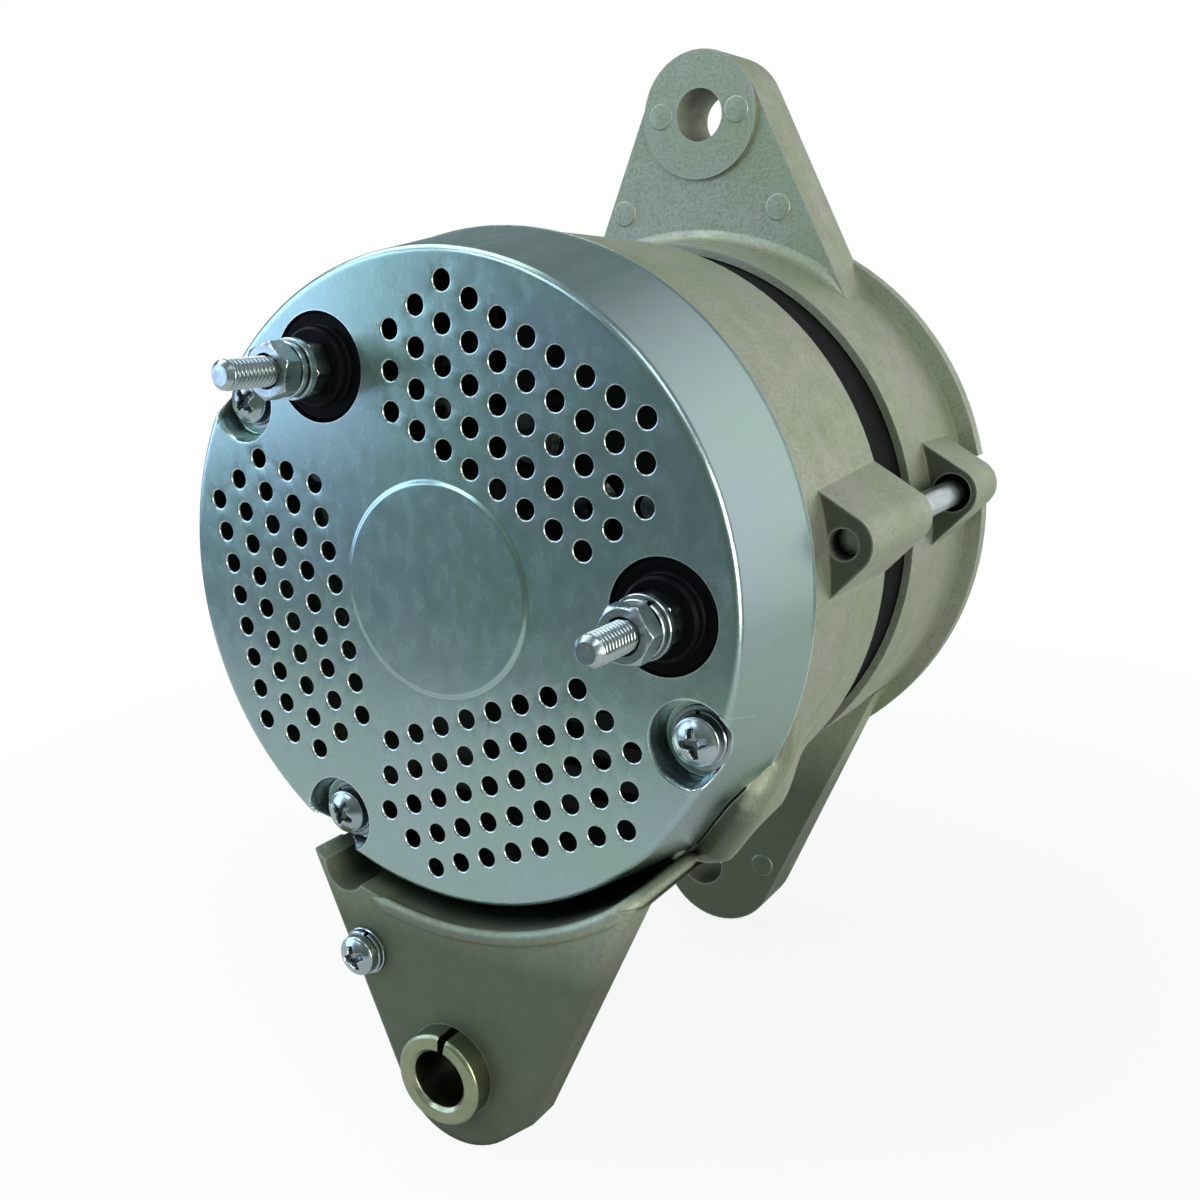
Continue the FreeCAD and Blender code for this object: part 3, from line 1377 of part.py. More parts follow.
def make_brush_gear():
    """The holder under the slip rings with its two channels, and a brush and a spring in each."""
    half = "(brush_width / 2 + holder_wall)"
    holder = new_body("BrushHolder")
    block = across(holder, "HolderBlock", "first_ring - holder_wall")
    draw_block(block, f"-{half}", half, "-holder_bottom", "-holder_top")
    extrude(holder, "Pad", "HolderBlockPad", block, "rear_wall_rear - first_ring + holder_wall")
    lugs = across(holder, "HolderLugs", "rear_wall_rear - holder_lug_height")
    wide = f"({half} + holder_lug)"
    draw_block(lugs, f"-{wide}", wide, "-holder_lug_drop - holder_lug / 2", "-holder_lug_drop + holder_lug / 2")
    extrude(holder, "Pad", "HolderLugPad", lugs, "holder_lug_height")
    drills = across(holder, "HolderLugHoles", "rear_wall_rear - holder_lug_height - cut_over")
    for u, v in HOLDER_SCREWS:
        draw_circle(drills, u, v, "small_screw_radius + slack")
    extrude(holder, "Pocket", "HolderLugHolePocket", drills, "holder_lug_height + 2 * cut_over")
    for which in ("first", "second"):
        middle = f"({which}_ring + ring_width / 2)"
        channel = across(holder, f"Channel_{which}", f"{middle} - brush_thickness / 2 - brush_slack")
        width = "(brush_width / 2 + brush_slack)"
        draw_block(channel, f"-{width}", width, "-channel_bottom", "-holder_top + cut_over")
        extrude(holder, "Pocket", f"ChannelPocket_{which}", channel, "brush_thickness + 2 * brush_slack")
    keep(holder, "brush_holder")
    fastener = screw(
        "HolderScrew",
        "rear_wall_rear - holder_lug_height",
        "small_screw_radius",
        "small_screw_length",
        "small_head_radius",
        "small_head_height",
    )
    set_out("brush_holder_screws", fastener, HOLDER_SCREWS)

    for sign, which in (("positive", "first"), ("negative", "second")):
        middle = f"({which}_ring + ring_width / 2)"
        brush = new_body(f"{sign.title()}Brush")
        sketch = across(brush, f"{sign.title()}BrushOutline", f"{middle} - brush_thickness / 2")
        draw_block(sketch, "-brush_width / 2", "brush_width / 2", "-brush_bottom", "-brush_top")
        extrude(brush, "Pad", f"{sign.title()}BrushPad", sketch, "brush_thickness")
        keep(brush, f"{sign}_brush")
        spring = new_body(f"{sign.title()}Spring")
        wire = plane_sketch(spring, "XZ_Plane", f"{sign.title()}SpringWire")
        draw_block(
            wire,
            "spring_radius - spring_wire / 2",
            "spring_radius + spring_wire / 2",
            "0",
            "spring_wire",
        )
        coil = spring.newObject("PartDesign::AdditiveHelix", f"{sign.title()}SpringCoil")
        coil.Profile = wire
        coil.ReferenceAxis = (wire, ["V_Axis"])
        coil.Mode = 2
        bind(coil, Height="brush_room - spring_wire - 2 * fit_gap", Turns="spring_turns")
        spring.setExpression(".Placement.Base.y", bound(middle))
        spring.setExpression(".Placement.Base.z", bound("-channel_bottom + fit_gap"))
        keep(spring, f"{sign}_brush_spring")


def make_regulator():
    body = new_body("Regulator")
    block = across(body, "RegulatorBlock", "rear_wall_rear - regulator_height")
    draw_block(block, "regulator_left", "regulator_right", "-regulator_bottom_drop", "-regulator_top_drop")
    extrude(body, "Pad", "RegulatorPad", block, "regulator_height")
    gaps = across(body, "RegulatorFinGaps", "rear_wall_rear - regulator_height - cut_over")
    for i in (1, 3, 5):
        low = f"-regulator_bottom_drop + {i} * (regulator_bottom_drop - regulator_top_drop) / 7"
        high = f"-regulator_bottom_drop + {i + 1} * (regulator_bottom_drop - regulator_top_drop) / 7"
        draw_block(gaps, "regulator_left - cut_over", "regulator_right + cut_over", low, high)
    extrude(body, "Pocket", "RegulatorFinPocket", gaps, "regulator_fin_depth + cut_over")
    keep(body, "regulator")


def make_terminals():
    insulator = turned(
        "TerminalInsulator",
        [
            ("stud_radius + fit_gap", "insulator_rear"),
            ("insulator_boss_radius", "insulator_rear"),
            ("insulator_boss_radius", "cover_face + insulator_gap"),
            ("terminal_opening_radius - slack", "cover_face + insulator_gap"),
            ("terminal_opening_radius - slack", "cover_face + insulator_gap + insulator_disc_thickness"),
            ("insulator_neck_radius", "cover_face + insulator_gap + insulator_disc_thickness"),
            ("insulator_neck_radius", "sink_rear"),
            ("stud_radius + fit_gap", "sink_rear"),
        ],
    )
    set_out("terminal_insulators", insulator, TERMINALS)
    stud = turned(
        "TerminalStud",
        [
            ("0", "cover_face - stud_reach"),
            ("stud_radius - stud_chamfer", "cover_face - stud_reach"),
            ("stud_radius", "cover_face - stud_reach + stud_chamfer"),
            ("stud_radius", "terminal_outer_face - slack - stud_relief_width"),
            ("stud_radius - stud_relief_depth", "terminal_outer_face - slack - stud_relief_width"),
            ("stud_radius - stud_relief_depth", "terminal_outer_face - slack"),
            ("stud_radius", "terminal_outer_face - slack"),
            ("stud_radius", "sink_front"),
            ("nut_flats / 2", "sink_front"),
            ("nut_flats / 2", "sink_front + 2"),
            ("0", "sink_front + 2"),
        ],
    )
    set_out("terminal_studs", stud, TERMINALS)
    lower = hex_nut("LowerNut", "nut_flats", "stud_radius + fit_gap", "terminal_nut_face", "nut_height")
    set_out("terminal_lower_nuts", lower, TERMINALS)
    washer = ring("TerminalWasher", "stud_radius + slack", "washer_radius", "terminal_washer_face", "terminal_nut_face")
    set_out("terminal_washers", washer, TERMINALS)
    spring = ring(
        "TerminalSpringWasher",
        "stud_radius + slack",
        "spring_washer_radius",
        "terminal_spring_face",
        "terminal_washer_face",
    )
    set_out("terminal_spring_washers", spring, TERMINALS)
    upper = hex_nut(
        "UpperNut", "nut_flats", "stud_radius + fit_gap", "terminal_outer_face", "nut_height"
    )
    set_out("terminal_upper_nuts", upper, TERMINALS)


def make_fasteners():
    fastener = screw(
        "CoverScrew",
        "dent_floor - cover_washer_thickness",
        "cover_screw_radius",
        "cover_screw_length",
        "cover_head_radius",
        "cover_head_height",
    )
    set_out("cover_screws", fastener, COVER_SCREWS)
    washer = ring(
        "CoverWasher",
        "cover_screw_radius + slack",
        "cover_washer_radius",
        "dent_floor - cover_washer_thickness",
        "dent_floor",
    )
    set_out("cover_washers", washer, COVER_SCREWS)

    bolt = new_body("ThroughBolt")
    head = across(bolt, "BoltHeadOutline", "bolt_seat")
    draw_regular(head, "0", "0", "bolt_head_flats / 2", "6")
    extrude(bolt, "Pad", "BoltHead", head, "bolt_head_height")
    shank = across(bolt, "BoltShankOutline", "rear_boss_face + bolt_recess")
    draw_circle(shank, "0", "0", "bolt_radius")
    extrude(bolt, "Pad", "BoltShank", shank, "bolt_seat - rear_boss_face - bolt_recess")
    spots = [polar("bolt_circle", f"(bolt_angle + {i} * 360 / bolt_count)") for i in range(3)]
    set_out("through_bolts", bolt, spots)

    place = [("-ground_screw_side", "-ground_screw_drop")]
    ground = screw(
        "GroundScrew",
        "rear_ear_face - 2 * ground_washer_thickness",
        "ground_screw_radius",
        "ground_screw_length",
        "ground_head_radius",
        "ground_head_height",
    )
    set_out("ground_screw", ground, place)
    washer = ring(
        "GroundWasher",
        "ground_screw_radius + slack",
        "ground_washer_radius",
        "rear_ear_face - ground_washer_thickness",
        "rear_ear_face",
    )
    set_out("ground_screw_washers", washer, [(*place[0], "0"), (*place[0], "-ground_washer_thickness")])


def make_fan():
    """A pressed fan: a plate with leaning blades that reach back towards the bracket."""
    body = new_body("Fan")
    disc = across(body, "FanDisc", "fan_rear")
    draw_circle(disc, "0", "0", "fan_radius")
    draw_circle(disc, "0", "0", "front_bearing_inner + fit_gap")
    extrude(body, "Pad", "FanDiscPad", disc, "fan_plate")
    blade = across(body, "FanBladeOutline", "fan_rear - fan_blade_height")
    lean = "(fan_blade_outer - fan_blade_inner) * tan(fan_blade_lean)".replace("fan_blade_outer", "(fan_radius - 2)")
    draw_polygon(
        blade,
        [
            ("fan_blade_inner", "-fan_blade_thickness / 2"),
            ("fan_radius - 2", f"{lean} - fan_blade_thickness / 2"),
            ("fan_radius - 2", f"{lean} + fan_blade_thickness / 2"),
            ("fan_blade_inner", "fan_blade_thickness / 2"),
        ],
    )
    pad = extrude(body, "Pad", "FanBlade", blade, "fan_blade_height")
    repeat(body, "FanBlades", pad, blade, "fan_blade_count")
    return keep(body, "fan")


def make_drive():
    collar = ring("FanCollar", "front_bearing_inner + fit_gap", "collar_radius", "front_bearing_front", "fan_rear")
    keep(collar, "fan_collar")
    make_fan()
    pulley = turned(
        "Pulley",
        [
            ("front_bearing_inner + fit_gap", "pulley_rear"),
            ("pulley_radius", "pulley_rear"),
            ("pulley_radius", "-groove_half_top"),
            ("groove_root_radius", "-groove_half_root"),
            ("groove_root_radius", "groove_half_root"),
            ("pulley_radius", "groove_half_top"),
            ("pulley_radius", "pulley_front"),
            ("pulley_hub_radius", "pulley_front"),
            ("pulley_hub_radius", "nut_seat"),
            ("front_bearing_inner + fit_gap", "nut_seat"),
        ],
    )
    way = across(pulley, "KeyWay", "pulley_rear - cut_over")
    half = "(key_width / 2 + fit_gap)"
    draw_block(way, f"-{half}", half, "0", "front_bearing_inner + key_height / 2 + fit_gap")
    extrude(pulley, "Pocket", "KeyWayPocket", way, "pulley_width + 2 * cut_over")
    keep(pulley, "pulley")
    key = new_body("PulleyKey")
    outline = across(key, "KeyOutline", "-key_length / 2 + fit_gap")
    low = "front_bearing_inner - key_height / 2 + fit_gap"
    draw_block(outline, "-key_width / 2", "key_width / 2", low, "front_bearing_inner + key_height / 2")
    extrude(key, "Pad", "KeyPad", outline, "key_length - 2 * fit_gap")
    keep(key, "pulley_key")
    washer = ring("LockWasher", "shaft_thread_radius + slack", "lock_washer_radius", "nut_seat", "nut_rear")
    keep(washer, "pulley_lock_washer")
    nut = hex_nut("PulleyNut", "shaft_nut_flats", "shaft_thread_radius + fit_gap", "nut_rear", "shaft_nut_height")
    keep(nut, "pulley_nut")


make_rear_cover()
make_rear_bracket()
make_front_bracket()
make_pivot_bush()
make_stator()
make_rotor()
make_bearing("front", "front_ball_count")
make_bearing("rear", "rear_ball_count")
make_retainer()
make_rectifier()
make_brush_gear()
make_regulator()
make_terminals()
make_fasteners()
make_drive()
doc.recompute()

faults = [item.Name for item in doc.Objects if "Invalid" in item.State or "Error" in item.State]
for node in nodes:
    if node.Shape.isNull() or not node.Shape.isValid() or not node.Shape.Solids:
        faults.append(node.Label)
if faults:
    raise RuntimeError(f"failed: {faults}")

os.makedirs("parts", exist_ok=True)
for node in nodes:
    node.Shape.exportStep(f"parts/{node.Label}.step")
print(f"{len(nodes)} sub-parts, {sum(len(node.Shape.Solids) for node in nodes)} solids")
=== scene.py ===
import json
import math

import bmesh
import bpy
import numpy as np
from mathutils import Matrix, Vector
from mathutils.geometry import delaunay_2d_cdt

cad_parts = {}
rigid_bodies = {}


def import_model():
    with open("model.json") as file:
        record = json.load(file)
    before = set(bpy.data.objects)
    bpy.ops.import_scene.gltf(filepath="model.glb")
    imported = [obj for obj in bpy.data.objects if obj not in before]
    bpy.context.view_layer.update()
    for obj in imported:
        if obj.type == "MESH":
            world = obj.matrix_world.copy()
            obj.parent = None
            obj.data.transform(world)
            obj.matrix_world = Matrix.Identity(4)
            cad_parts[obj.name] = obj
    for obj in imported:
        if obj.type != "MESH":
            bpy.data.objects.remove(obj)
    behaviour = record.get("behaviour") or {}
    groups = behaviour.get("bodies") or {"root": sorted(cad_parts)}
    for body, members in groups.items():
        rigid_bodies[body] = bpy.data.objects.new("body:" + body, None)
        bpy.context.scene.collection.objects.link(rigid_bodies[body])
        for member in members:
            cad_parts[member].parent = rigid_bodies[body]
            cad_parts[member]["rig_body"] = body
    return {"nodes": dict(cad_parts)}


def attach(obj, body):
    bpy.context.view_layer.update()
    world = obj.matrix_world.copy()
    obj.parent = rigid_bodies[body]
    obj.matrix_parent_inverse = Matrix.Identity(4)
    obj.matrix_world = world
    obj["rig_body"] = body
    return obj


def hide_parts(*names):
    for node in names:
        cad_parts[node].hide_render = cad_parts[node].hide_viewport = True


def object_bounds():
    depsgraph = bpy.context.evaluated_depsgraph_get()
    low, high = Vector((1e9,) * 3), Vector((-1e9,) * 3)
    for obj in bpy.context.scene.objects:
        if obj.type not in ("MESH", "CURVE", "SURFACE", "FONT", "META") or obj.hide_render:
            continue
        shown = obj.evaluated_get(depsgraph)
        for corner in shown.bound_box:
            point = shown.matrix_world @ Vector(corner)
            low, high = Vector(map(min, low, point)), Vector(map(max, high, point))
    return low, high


# The looks of an alternator seen from its slip-ring end. Sizes are in millimetres, and angles in degrees
# about the shaft, which lies along Y with the drive end at +Y.
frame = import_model()
cadBox = [list(corner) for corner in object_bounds()]
mm = 0.001
print("Frame loaded:", len(frame["nodes"]), "nodes")


# Finishes

def startMaterial(name):
    material = bpy.data.materials.new(name)
    material.use_nodes = True
    material.node_tree.nodes.clear()
    return material, material.node_tree


def addNode(tree, kind, *inputs, **settings):
    # Settings go by name and inputs in their order. An input is a value or another node's output.
    node = tree.nodes.new("ShaderNode" + kind)
    for key, value in (*settings.items(), *enumerate(inputs)):
        if isinstance(value, bpy.types.NodeSocket):
            tree.links.new(value, node.inputs[key])
        elif isinstance(key, int) or key in node.inputs:
            node.inputs[key].default_value = value
        else:
            setattr(node, key, value)
    return node


def noiseAt(tree, place, scale, stretch=(1.0, 1.0, 1.0), detail=3.0):
    # Noise of about 1000 / scale millimetres, drawn out along an axis where its stretch is small.
    mapping = addNode(tree, "Mapping", place, Scale=stretch)
    noise = addNode(tree, "TexNoise", mapping.outputs[0], Scale=scale, Detail=detail, Roughness=0.6)
    return noise.outputs["Fac"]


def spread(tree, value, *ends):
    # The value goes evenly from one range to the other, (from, from, to, to), and stops at their ends.
    return addNode(tree, "MapRange", value, *ends).outputs["Result"]


def mixColours(tree, factor, first, second):
    mix = addNode(tree, "Mix", factor, data_type="RGBA")
    for socket, colour in ((mix.inputs[6], first), (mix.inputs[7], second)):
        if isinstance(colour, bpy.types.NodeSocket):
            tree.links.new(colour, socket)
        else:
            socket.default_value = (*colour, 1.0)
    return mix.outputs[2]


def calculate(tree, operation, *numbers):
    return addNode(tree, "Math", *numbers, operation=operation).outputs[0]


# What all finishes share: where each noise begins and ends its tone, how fine it is, how far the normal
# leans at an edge painted lighter (wear, and on the cover a painted highlight), and how softly a range along
# Y begins.
commonLook = {
    "patches": (0.35, 0.65), "streaks": (0.3, 0.7), "specks": (0.45, 0.75), "streakDetail": 5.0,
    "grainDetail": 2.0, "edgeLean": (0.99, 0.90), "edgeSamples": 4, "creviceSamples": 8,
    "rangeFade": 1.0,
}


def shadeLow(tree, colour, place, look):
    # Darker towards the bottom: the colour goes over to the low one from the height lowStart down to lowEnd,
    # a browner casting tone that is also painted shade where less light falls.
    height = addNode(tree, "SeparateXYZ", place).outputs["Z"]
    fade = spread(tree, height, look["lowStart"] * mm, look["lowEnd"] * mm, 0.0, look["lowAmount"])
    return mixColours(tree, fade, colour, look["lowColour"])


def shadeBacks(tree, colour, place, look):
    # Painted shade: faces turned to the slip-ring end are darker in ranges of Y, at the ends of the bolt
    # bosses and at the web, where the cover shades them. A range is its start, its end, and the Y of the
    # normal at which the shade begins and is full.
    y = addNode(tree, "SeparateXYZ", place).outputs["Y"]
    normal = addNode(tree, "TexCoord").outputs["Normal"]
    turned = addNode(tree, "SeparateXYZ", normal).outputs["Y"]
    fade = commonLook["rangeFade"]
    for start, end, begin, full in look["backRanges"]:
        facing = spread(tree, turned, begin, full, 0.0, look["backAmount"])
        after = spread(tree, y, (start - fade) * mm, start * mm, 0.0, 1.0)
        before = spread(tree, y, end * mm, (end + fade) * mm, 1.0, 0.0)
        inRange = calculate(tree, "MULTIPLY", after, before)
        shade = calculate(tree, "MULTIPLY", inRange, facing)
        colour = mixColours(tree, shade, colour, look["backColour"])
    return colour


def makeFinish(name, look):
    # Soft patches mix two tones, drawn-out streaks add a third and fine specks a fourth. Then come a
    # casting's darker low part, partly painted shade, painted shade on its backs, edges painted lighter as
    # wear and, on the cover, as a highlight, and painted shade in crevices. The streaks give the roughness,
    # and the grain and the streaks give the bump.
    material, tree = startMaterial(name)
    place = addNode(tree, "TexCoord").outputs["Object"]
    patches = noiseAt(tree, place, look["patchScale"])
    streaks = noiseAt(tree, place, look["streakScale"], look["streakStretch"], commonLook["streakDetail"])
    grain = noiseAt(tree, place, look["grainScale"], detail=commonLook["grainDetail"])
    soft = spread(tree, patches, *commonLook["patches"], 0.0, 1.0)
    drawn = spread(tree, streaks, *commonLook["streaks"], 0.0, look["streakAmount"])
    specks = spread(tree, grain, *commonLook["specks"], 0.0, look["speckAmount"])
    colour = mixColours(tree, soft, look["colour"], look["tint"])
    colour = mixColours(tree, drawn, colour, look["streakColour"])
    colour = mixColours(tree, specks, colour, look["speckColour"])
    if "lowColour" in look:
        colour = shadeLow(tree, colour, place, look)
    if "backColour" in look:
        colour = shadeBacks(tree, colour, place, look)
    # Edges are painted lighter: partly as wear, and on the cover's rim and hole edges as a painted highlight.
    rounded = addNode(tree, "Bevel", look["wearWidth"] * mm, samples=commonLook["edgeSamples"])
    normal = addNode(tree, "NewGeometry").outputs["Normal"]
    lean = addNode(tree, "VectorMath", rounded.outputs[0], normal, operation="DOT_PRODUCT")
    wornAndLit = spread(tree, lean.outputs["Value"], *commonLook["edgeLean"], 0.0, look["wear"])
    colour = mixColours(tree, wornAndLit, colour, look["wearColour"])
    # Painted shade: ambient occlusion darkens hollows, gaps and recesses towards the crevice colour.
    hollow = addNode(tree, "AmbientOcclusion", samples=commonLook["creviceSamples"],
                     Distance=look["creviceReach"] * mm)
    creviceShade = spread(tree, hollow.outputs["AO"], look["creviceOpen"], look["creviceShut"], 0.0, look["crevice"])
    colour = mixColours(tree, creviceShade, colour, look["creviceColour"])
    rough = spread(tree, streaks, *commonLook["streaks"], look["roughLow"], look["roughHigh"])
    fine = addNode(tree, "Bump", Strength=look["grainStrength"], Distance=look["grainDepth"] * mm,
                   Height=grain)
    broad = addNode(tree, "Bump", Strength=look["streakStrength"], Distance=look["streakDepth"] * mm,
                    Height=streaks, Normal=fine.outputs["Normal"])
    shader = addNode(tree, "BsdfPrincipled", colour, Metallic=look["metallic"], Roughness=rough,
                     Normal=broad.outputs["Normal"])
    shader.inputs["Specular IOR Level"].default_value = look["gloss"]
    addNode(tree, "OutputMaterial", shader.outputs["BSDF"])
    return material


# Satin zinc plate on the pressed cover, rough casting and bright zinc. The others change what differs.
coverSteelLook = {
    "metallic": 1.0, "gloss": 0.5, "colour": (0.365, 0.515, 0.45), "tint": (0.40, 0.50, 0.53),
    "patchScale": 34.0, "streakColour": (0.49, 0.64, 0.62), "streakScale": 260.0,
    "streakStretch": (1.0, 0.05, 0.7), "streakAmount": 0.25, "streakStrength": 0.02,
    # The crevice colour is painted shade in the dents and gaps, and the near-white edge colour a painted
    # highlight on the rim and the hole edges.
    "streakDepth": 0.15, "speckAmount": 0.18, "speckColour": (0.28, 0.39, 0.38), "crevice": 0.9,
    "creviceOpen": 0.30, "creviceShut": 0.08, "creviceReach": 7.0, "creviceColour": (0.03, 0.04, 0.04),
    "grainScale": 2200.0, "grainStrength": 0.08, "grainDepth": 0.10, "roughLow": 0.22,
    "roughHigh": 0.30, "wear": 1.0, "wearWidth": 0.5, "wearColour": (0.96, 1.0, 0.97),
}
castLook = {
    "metallic": 0.75, "gloss": 0.4, "colour": (0.36, 0.42, 0.27), "tint": (0.42, 0.43, 0.36),
    "patchScale": 55.0, "streakColour": (0.30, 0.32, 0.25), "streakScale": 150.0,
    "streakStretch": (1.0, 0.8, 1.0), "streakAmount": 0.35, "speckAmount": 0.55,
    # Painted shade: the crevice colour darkens hollows, the low colour darkens the lower part along with a
    # browner tone, and the back colour darkens rear-facing faces behind the cover.
    "speckColour": (0.20, 0.21, 0.17), "crevice": 0.92, "creviceOpen": 0.45, "creviceShut": 0.12,
    "creviceReach": 30.0, "creviceColour": (0.012, 0.014, 0.010), "streakStrength": 0.10,
    "streakDepth": 0.5, "grainScale": 1300.0, "grainStrength": 0.40, "grainDepth": 0.2,
    "roughLow": 0.40, "roughHigh": 0.60, "wear": 0.6, "wearWidth": 0.8,
    "wearColour": (0.50, 0.52, 0.46), "lowColour": (0.105, 0.122, 0.084), "lowStart": -56.0,
    "lowEnd": -76.0, "lowAmount": 0.88, "backColour": (0.045, 0.052, 0.040), "backAmount": 0.85,
    "backRanges": ((-128.0, -120.0, -0.85, -0.98), (-60.0, -54.0, -0.85, -0.98), (-146.0, -130.0, 0.0, -0.9)),
}
zincLook = {
    "metallic": 1.0, "gloss": 0.5, "speckAmount": 0.1, "speckColour": (0.30, 0.33, 0.33),
    "crevice": 0.85, "creviceOpen": 0.7, "creviceShut": 0.2, "creviceReach": 5.0,
    "creviceColour": (0.02, 0.022, 0.022), "colour": (0.42, 0.48, 0.51), "tint": (0.54, 0.59, 0.62),
    "patchScale": 120.0, "streakColour": (0.36, 0.40, 0.40), "streakScale": 500.0,
    "streakStretch": (1.0, 0.3, 1.0), "streakAmount": 0.4, "streakStrength": 0.08, "streakDepth": 0.2,
    "grainScale": 1600.0, "grainStrength": 0.08, "grainDepth": 0.1, "roughLow": 0.16, "roughHigh": 0.30,
    "wear": 0.5, "wearWidth": 0.25, "wearColour": (0.80, 0.84, 0.85),
}
insideLook = castLook | {"lowAmount": 0.0}
finishLooks = {
    "cover_steel": coverSteelLook,
    "cast_aluminium": castLook,
    "zinc_fastener": zincLook,
    "yellow_zinc": zincLook | {
        "colour": (0.34, 0.37, 0.22), "tint": (0.42, 0.42, 0.28), "streakColour": (0.24, 0.28, 0.20),
        "wearColour": (0.72, 0.76, 0.66), "roughLow": 0.24, "roughHigh": 0.4, "creviceOpen": 0.75,
        "creviceShut": 0.35, "creviceReach": 18.0,
    },
    "machined_steel": zincLook | {
        "colour": (0.42, 0.42, 0.41), "tint": (0.50, 0.50, 0.48), "streakColour": (0.30, 0.30, 0.29),
        "streakStretch": (0.3, 1.0, 0.3), "roughLow": 0.2, "roughHigh": 0.36,
    },
    "spring_steel": zincLook | {"colour": (0.30, 0.31, 0.32), "tint": (0.38, 0.38, 0.38)},
    "diode_nickel": zincLook | {
        "colour": (0.30, 0.29, 0.26), "tint": (0.36, 0.35, 0.31), "creviceOpen": 0.8, "creviceShut": 0.3,
        "creviceReach": 25.0,
    },
    "fan_steel": zincLook | {
        "colour": (0.17, 0.18, 0.18), "tint": (0.22, 0.22, 0.21), "streakColour": (0.11, 0.11, 0.11),
        "roughLow": 0.35, "roughHigh": 0.55, "wearColour": (0.42, 0.43, 0.43),
    },
    "pulley_steel": zincLook | {
        "colour": (0.20, 0.21, 0.21), "tint": (0.27, 0.27, 0.26), "streakColour": (0.13, 0.13, 0.12),
        "streakStretch": (0.25, 1.0, 0.25), "roughLow": 0.3, "roughHigh": 0.5,
        "wearColour": (0.50, 0.51, 0.51),
    },
    # Painted shade: the heat sinks are painted far darker than aluminium, for the shade inside the cover
    # where they show through the air holes.
    "sink_aluminium": insideLook | {
        "colour": (0.10, 0.10, 0.10), "tint": (0.13, 0.13, 0.13), "streakColour": (0.07, 0.07, 0.07),
        "speckColour": (0.06, 0.06, 0.06), "creviceOpen": 0.75, "creviceShut": 0.35,
        "wearColour": (0.2, 0.2, 0.2), "grainStrength": 0.2,
    },
    "core_iron": insideLook | {
        "metallic": 0.0, "gloss": 0.05, "colour": (0.002, 0.0025, 0.003), "tint": (0.006, 0.006, 0.007),
        "streakColour": (0.008, 0.008, 0.010), "streakScale": 900.0, "streakStretch": (0.08, 1.0, 0.08),
        "streakStrength": 0.6, "streakDepth": 0.3, "speckColour": (0.01, 0.01, 0.01),
        "roughLow": 0.5, "roughHigh": 0.7, "wear": 0.2, "wearColour": (0.06, 0.06, 0.06),
    },
    "pole_iron": insideLook | {
        "colour": (0.10, 0.10, 0.095), "tint": (0.16, 0.13, 0.10), "streakColour": (0.06, 0.055, 0.05),
        "speckColour": (0.05, 0.045, 0.04),
    },
    "copper_wire": zincLook | {
        "colour": (0.42, 0.12, 0.045), "tint": (0.52, 0.19, 0.07), "streakColour": (0.22, 0.06, 0.03),
        "streakScale": 700.0, "streakStretch": (0.3, 1.0, 1.0), "streakStrength": 0.5, "streakDepth": 0.4,
        "wearColour": (0.66, 0.30, 0.14),
    },
    "ring_copper": zincLook | {
        "colour": (0.55, 0.24, 0.12), "tint": (0.62, 0.30, 0.17), "streakColour": (0.36, 0.15, 0.08),
        "streakStretch": (0.2, 1.0, 0.2), "wearColour": (0.75, 0.45, 0.28),
    },
    "black_plastic": insideLook | {
        "metallic": 0.0, "colour": (0.018, 0.018, 0.020), "tint": (0.028, 0.028, 0.030),
        "streakColour": (0.040, 0.040, 0.042), "roughLow": 0.4, "roughHigh": 0.55, "grainStrength": 0.2,
        "speckColour": (0.05, 0.05, 0.05), "wear": 0.3, "wearColour": (0.08, 0.08, 0.08),
    },
    "gloss_black_plastic": insideLook | {
        "metallic": 0.0, "gloss": 0.04, "colour": (0.0015, 0.002, 0.0025), "tint": (0.003, 0.003, 0.0035),
        "streakColour": (0.004, 0.004, 0.005), "roughLow": 0.24, "roughHigh": 0.36, "grainStrength": 0.05,
        "streakStrength": 0.06, "speckAmount": 0.2, "speckColour": (0.01, 0.01, 0.011),
        "wear": 0.15, "wearColour": (0.03, 0.03, 0.034),
    },
    "sleeve_resin": insideLook | {
        "metallic": 0.0, "colour": (0.10, 0.030, 0.016), "tint": (0.14, 0.045, 0.022),
        "streakColour": (0.07, 0.022, 0.014), "speckColour": (0.16, 0.06, 0.03), "roughLow": 0.35,
        "roughHigh": 0.5, "wear": 0.2, "wearColour": (0.2, 0.08, 0.05),
    },
    "carbon": insideLook | {
        "metallic": 0.2, "colour": (0.035, 0.033, 0.032), "tint": (0.055, 0.050, 0.048),
        "streakColour": (0.10, 0.06, 0.04), "speckColour": (0.02, 0.02, 0.02),
        "wearColour": (0.14, 0.12, 0.11),
    },
}
finishes = {slot: makeFinish(slot.replace("_", " "), look) for slot, look in finishLooks.items()}
slotOf = {name: node.material_slots[0].material.name for name, node in frame["nodes"].items()}
for nodeName, node in frame["nodes"].items():
    node.material_slots[0].material = finishes[slotOf[nodeName]]
print("Finishes made:", len(finishes))


# Making of surfaces and pieces

def placeObject(name, data):
    placed = bpy.data.objects.new(name, data)
    bpy.context.scene.collection.objects.link(placed)
    return placed


def gridFaces(rows, columns, wrapRows, wrapColumns):
    # Four corners between neighbouring rows and columns; a wrapped direction joins its last to its first.
    row = np.arange(rows if wrapRows else rows - 1)[:, None]
    column = np.arange(columns if wrapColumns else columns - 1)[None, :]
    nextRow = (row + 1) % rows
    nextColumn = (column + 1) % columns
    corners = (row * columns + column, row * columns + nextColumn,
               nextRow * columns + nextColumn, nextRow * columns + column)
    return np.stack(corners, axis=-1).reshape(-1, 4).tolist()


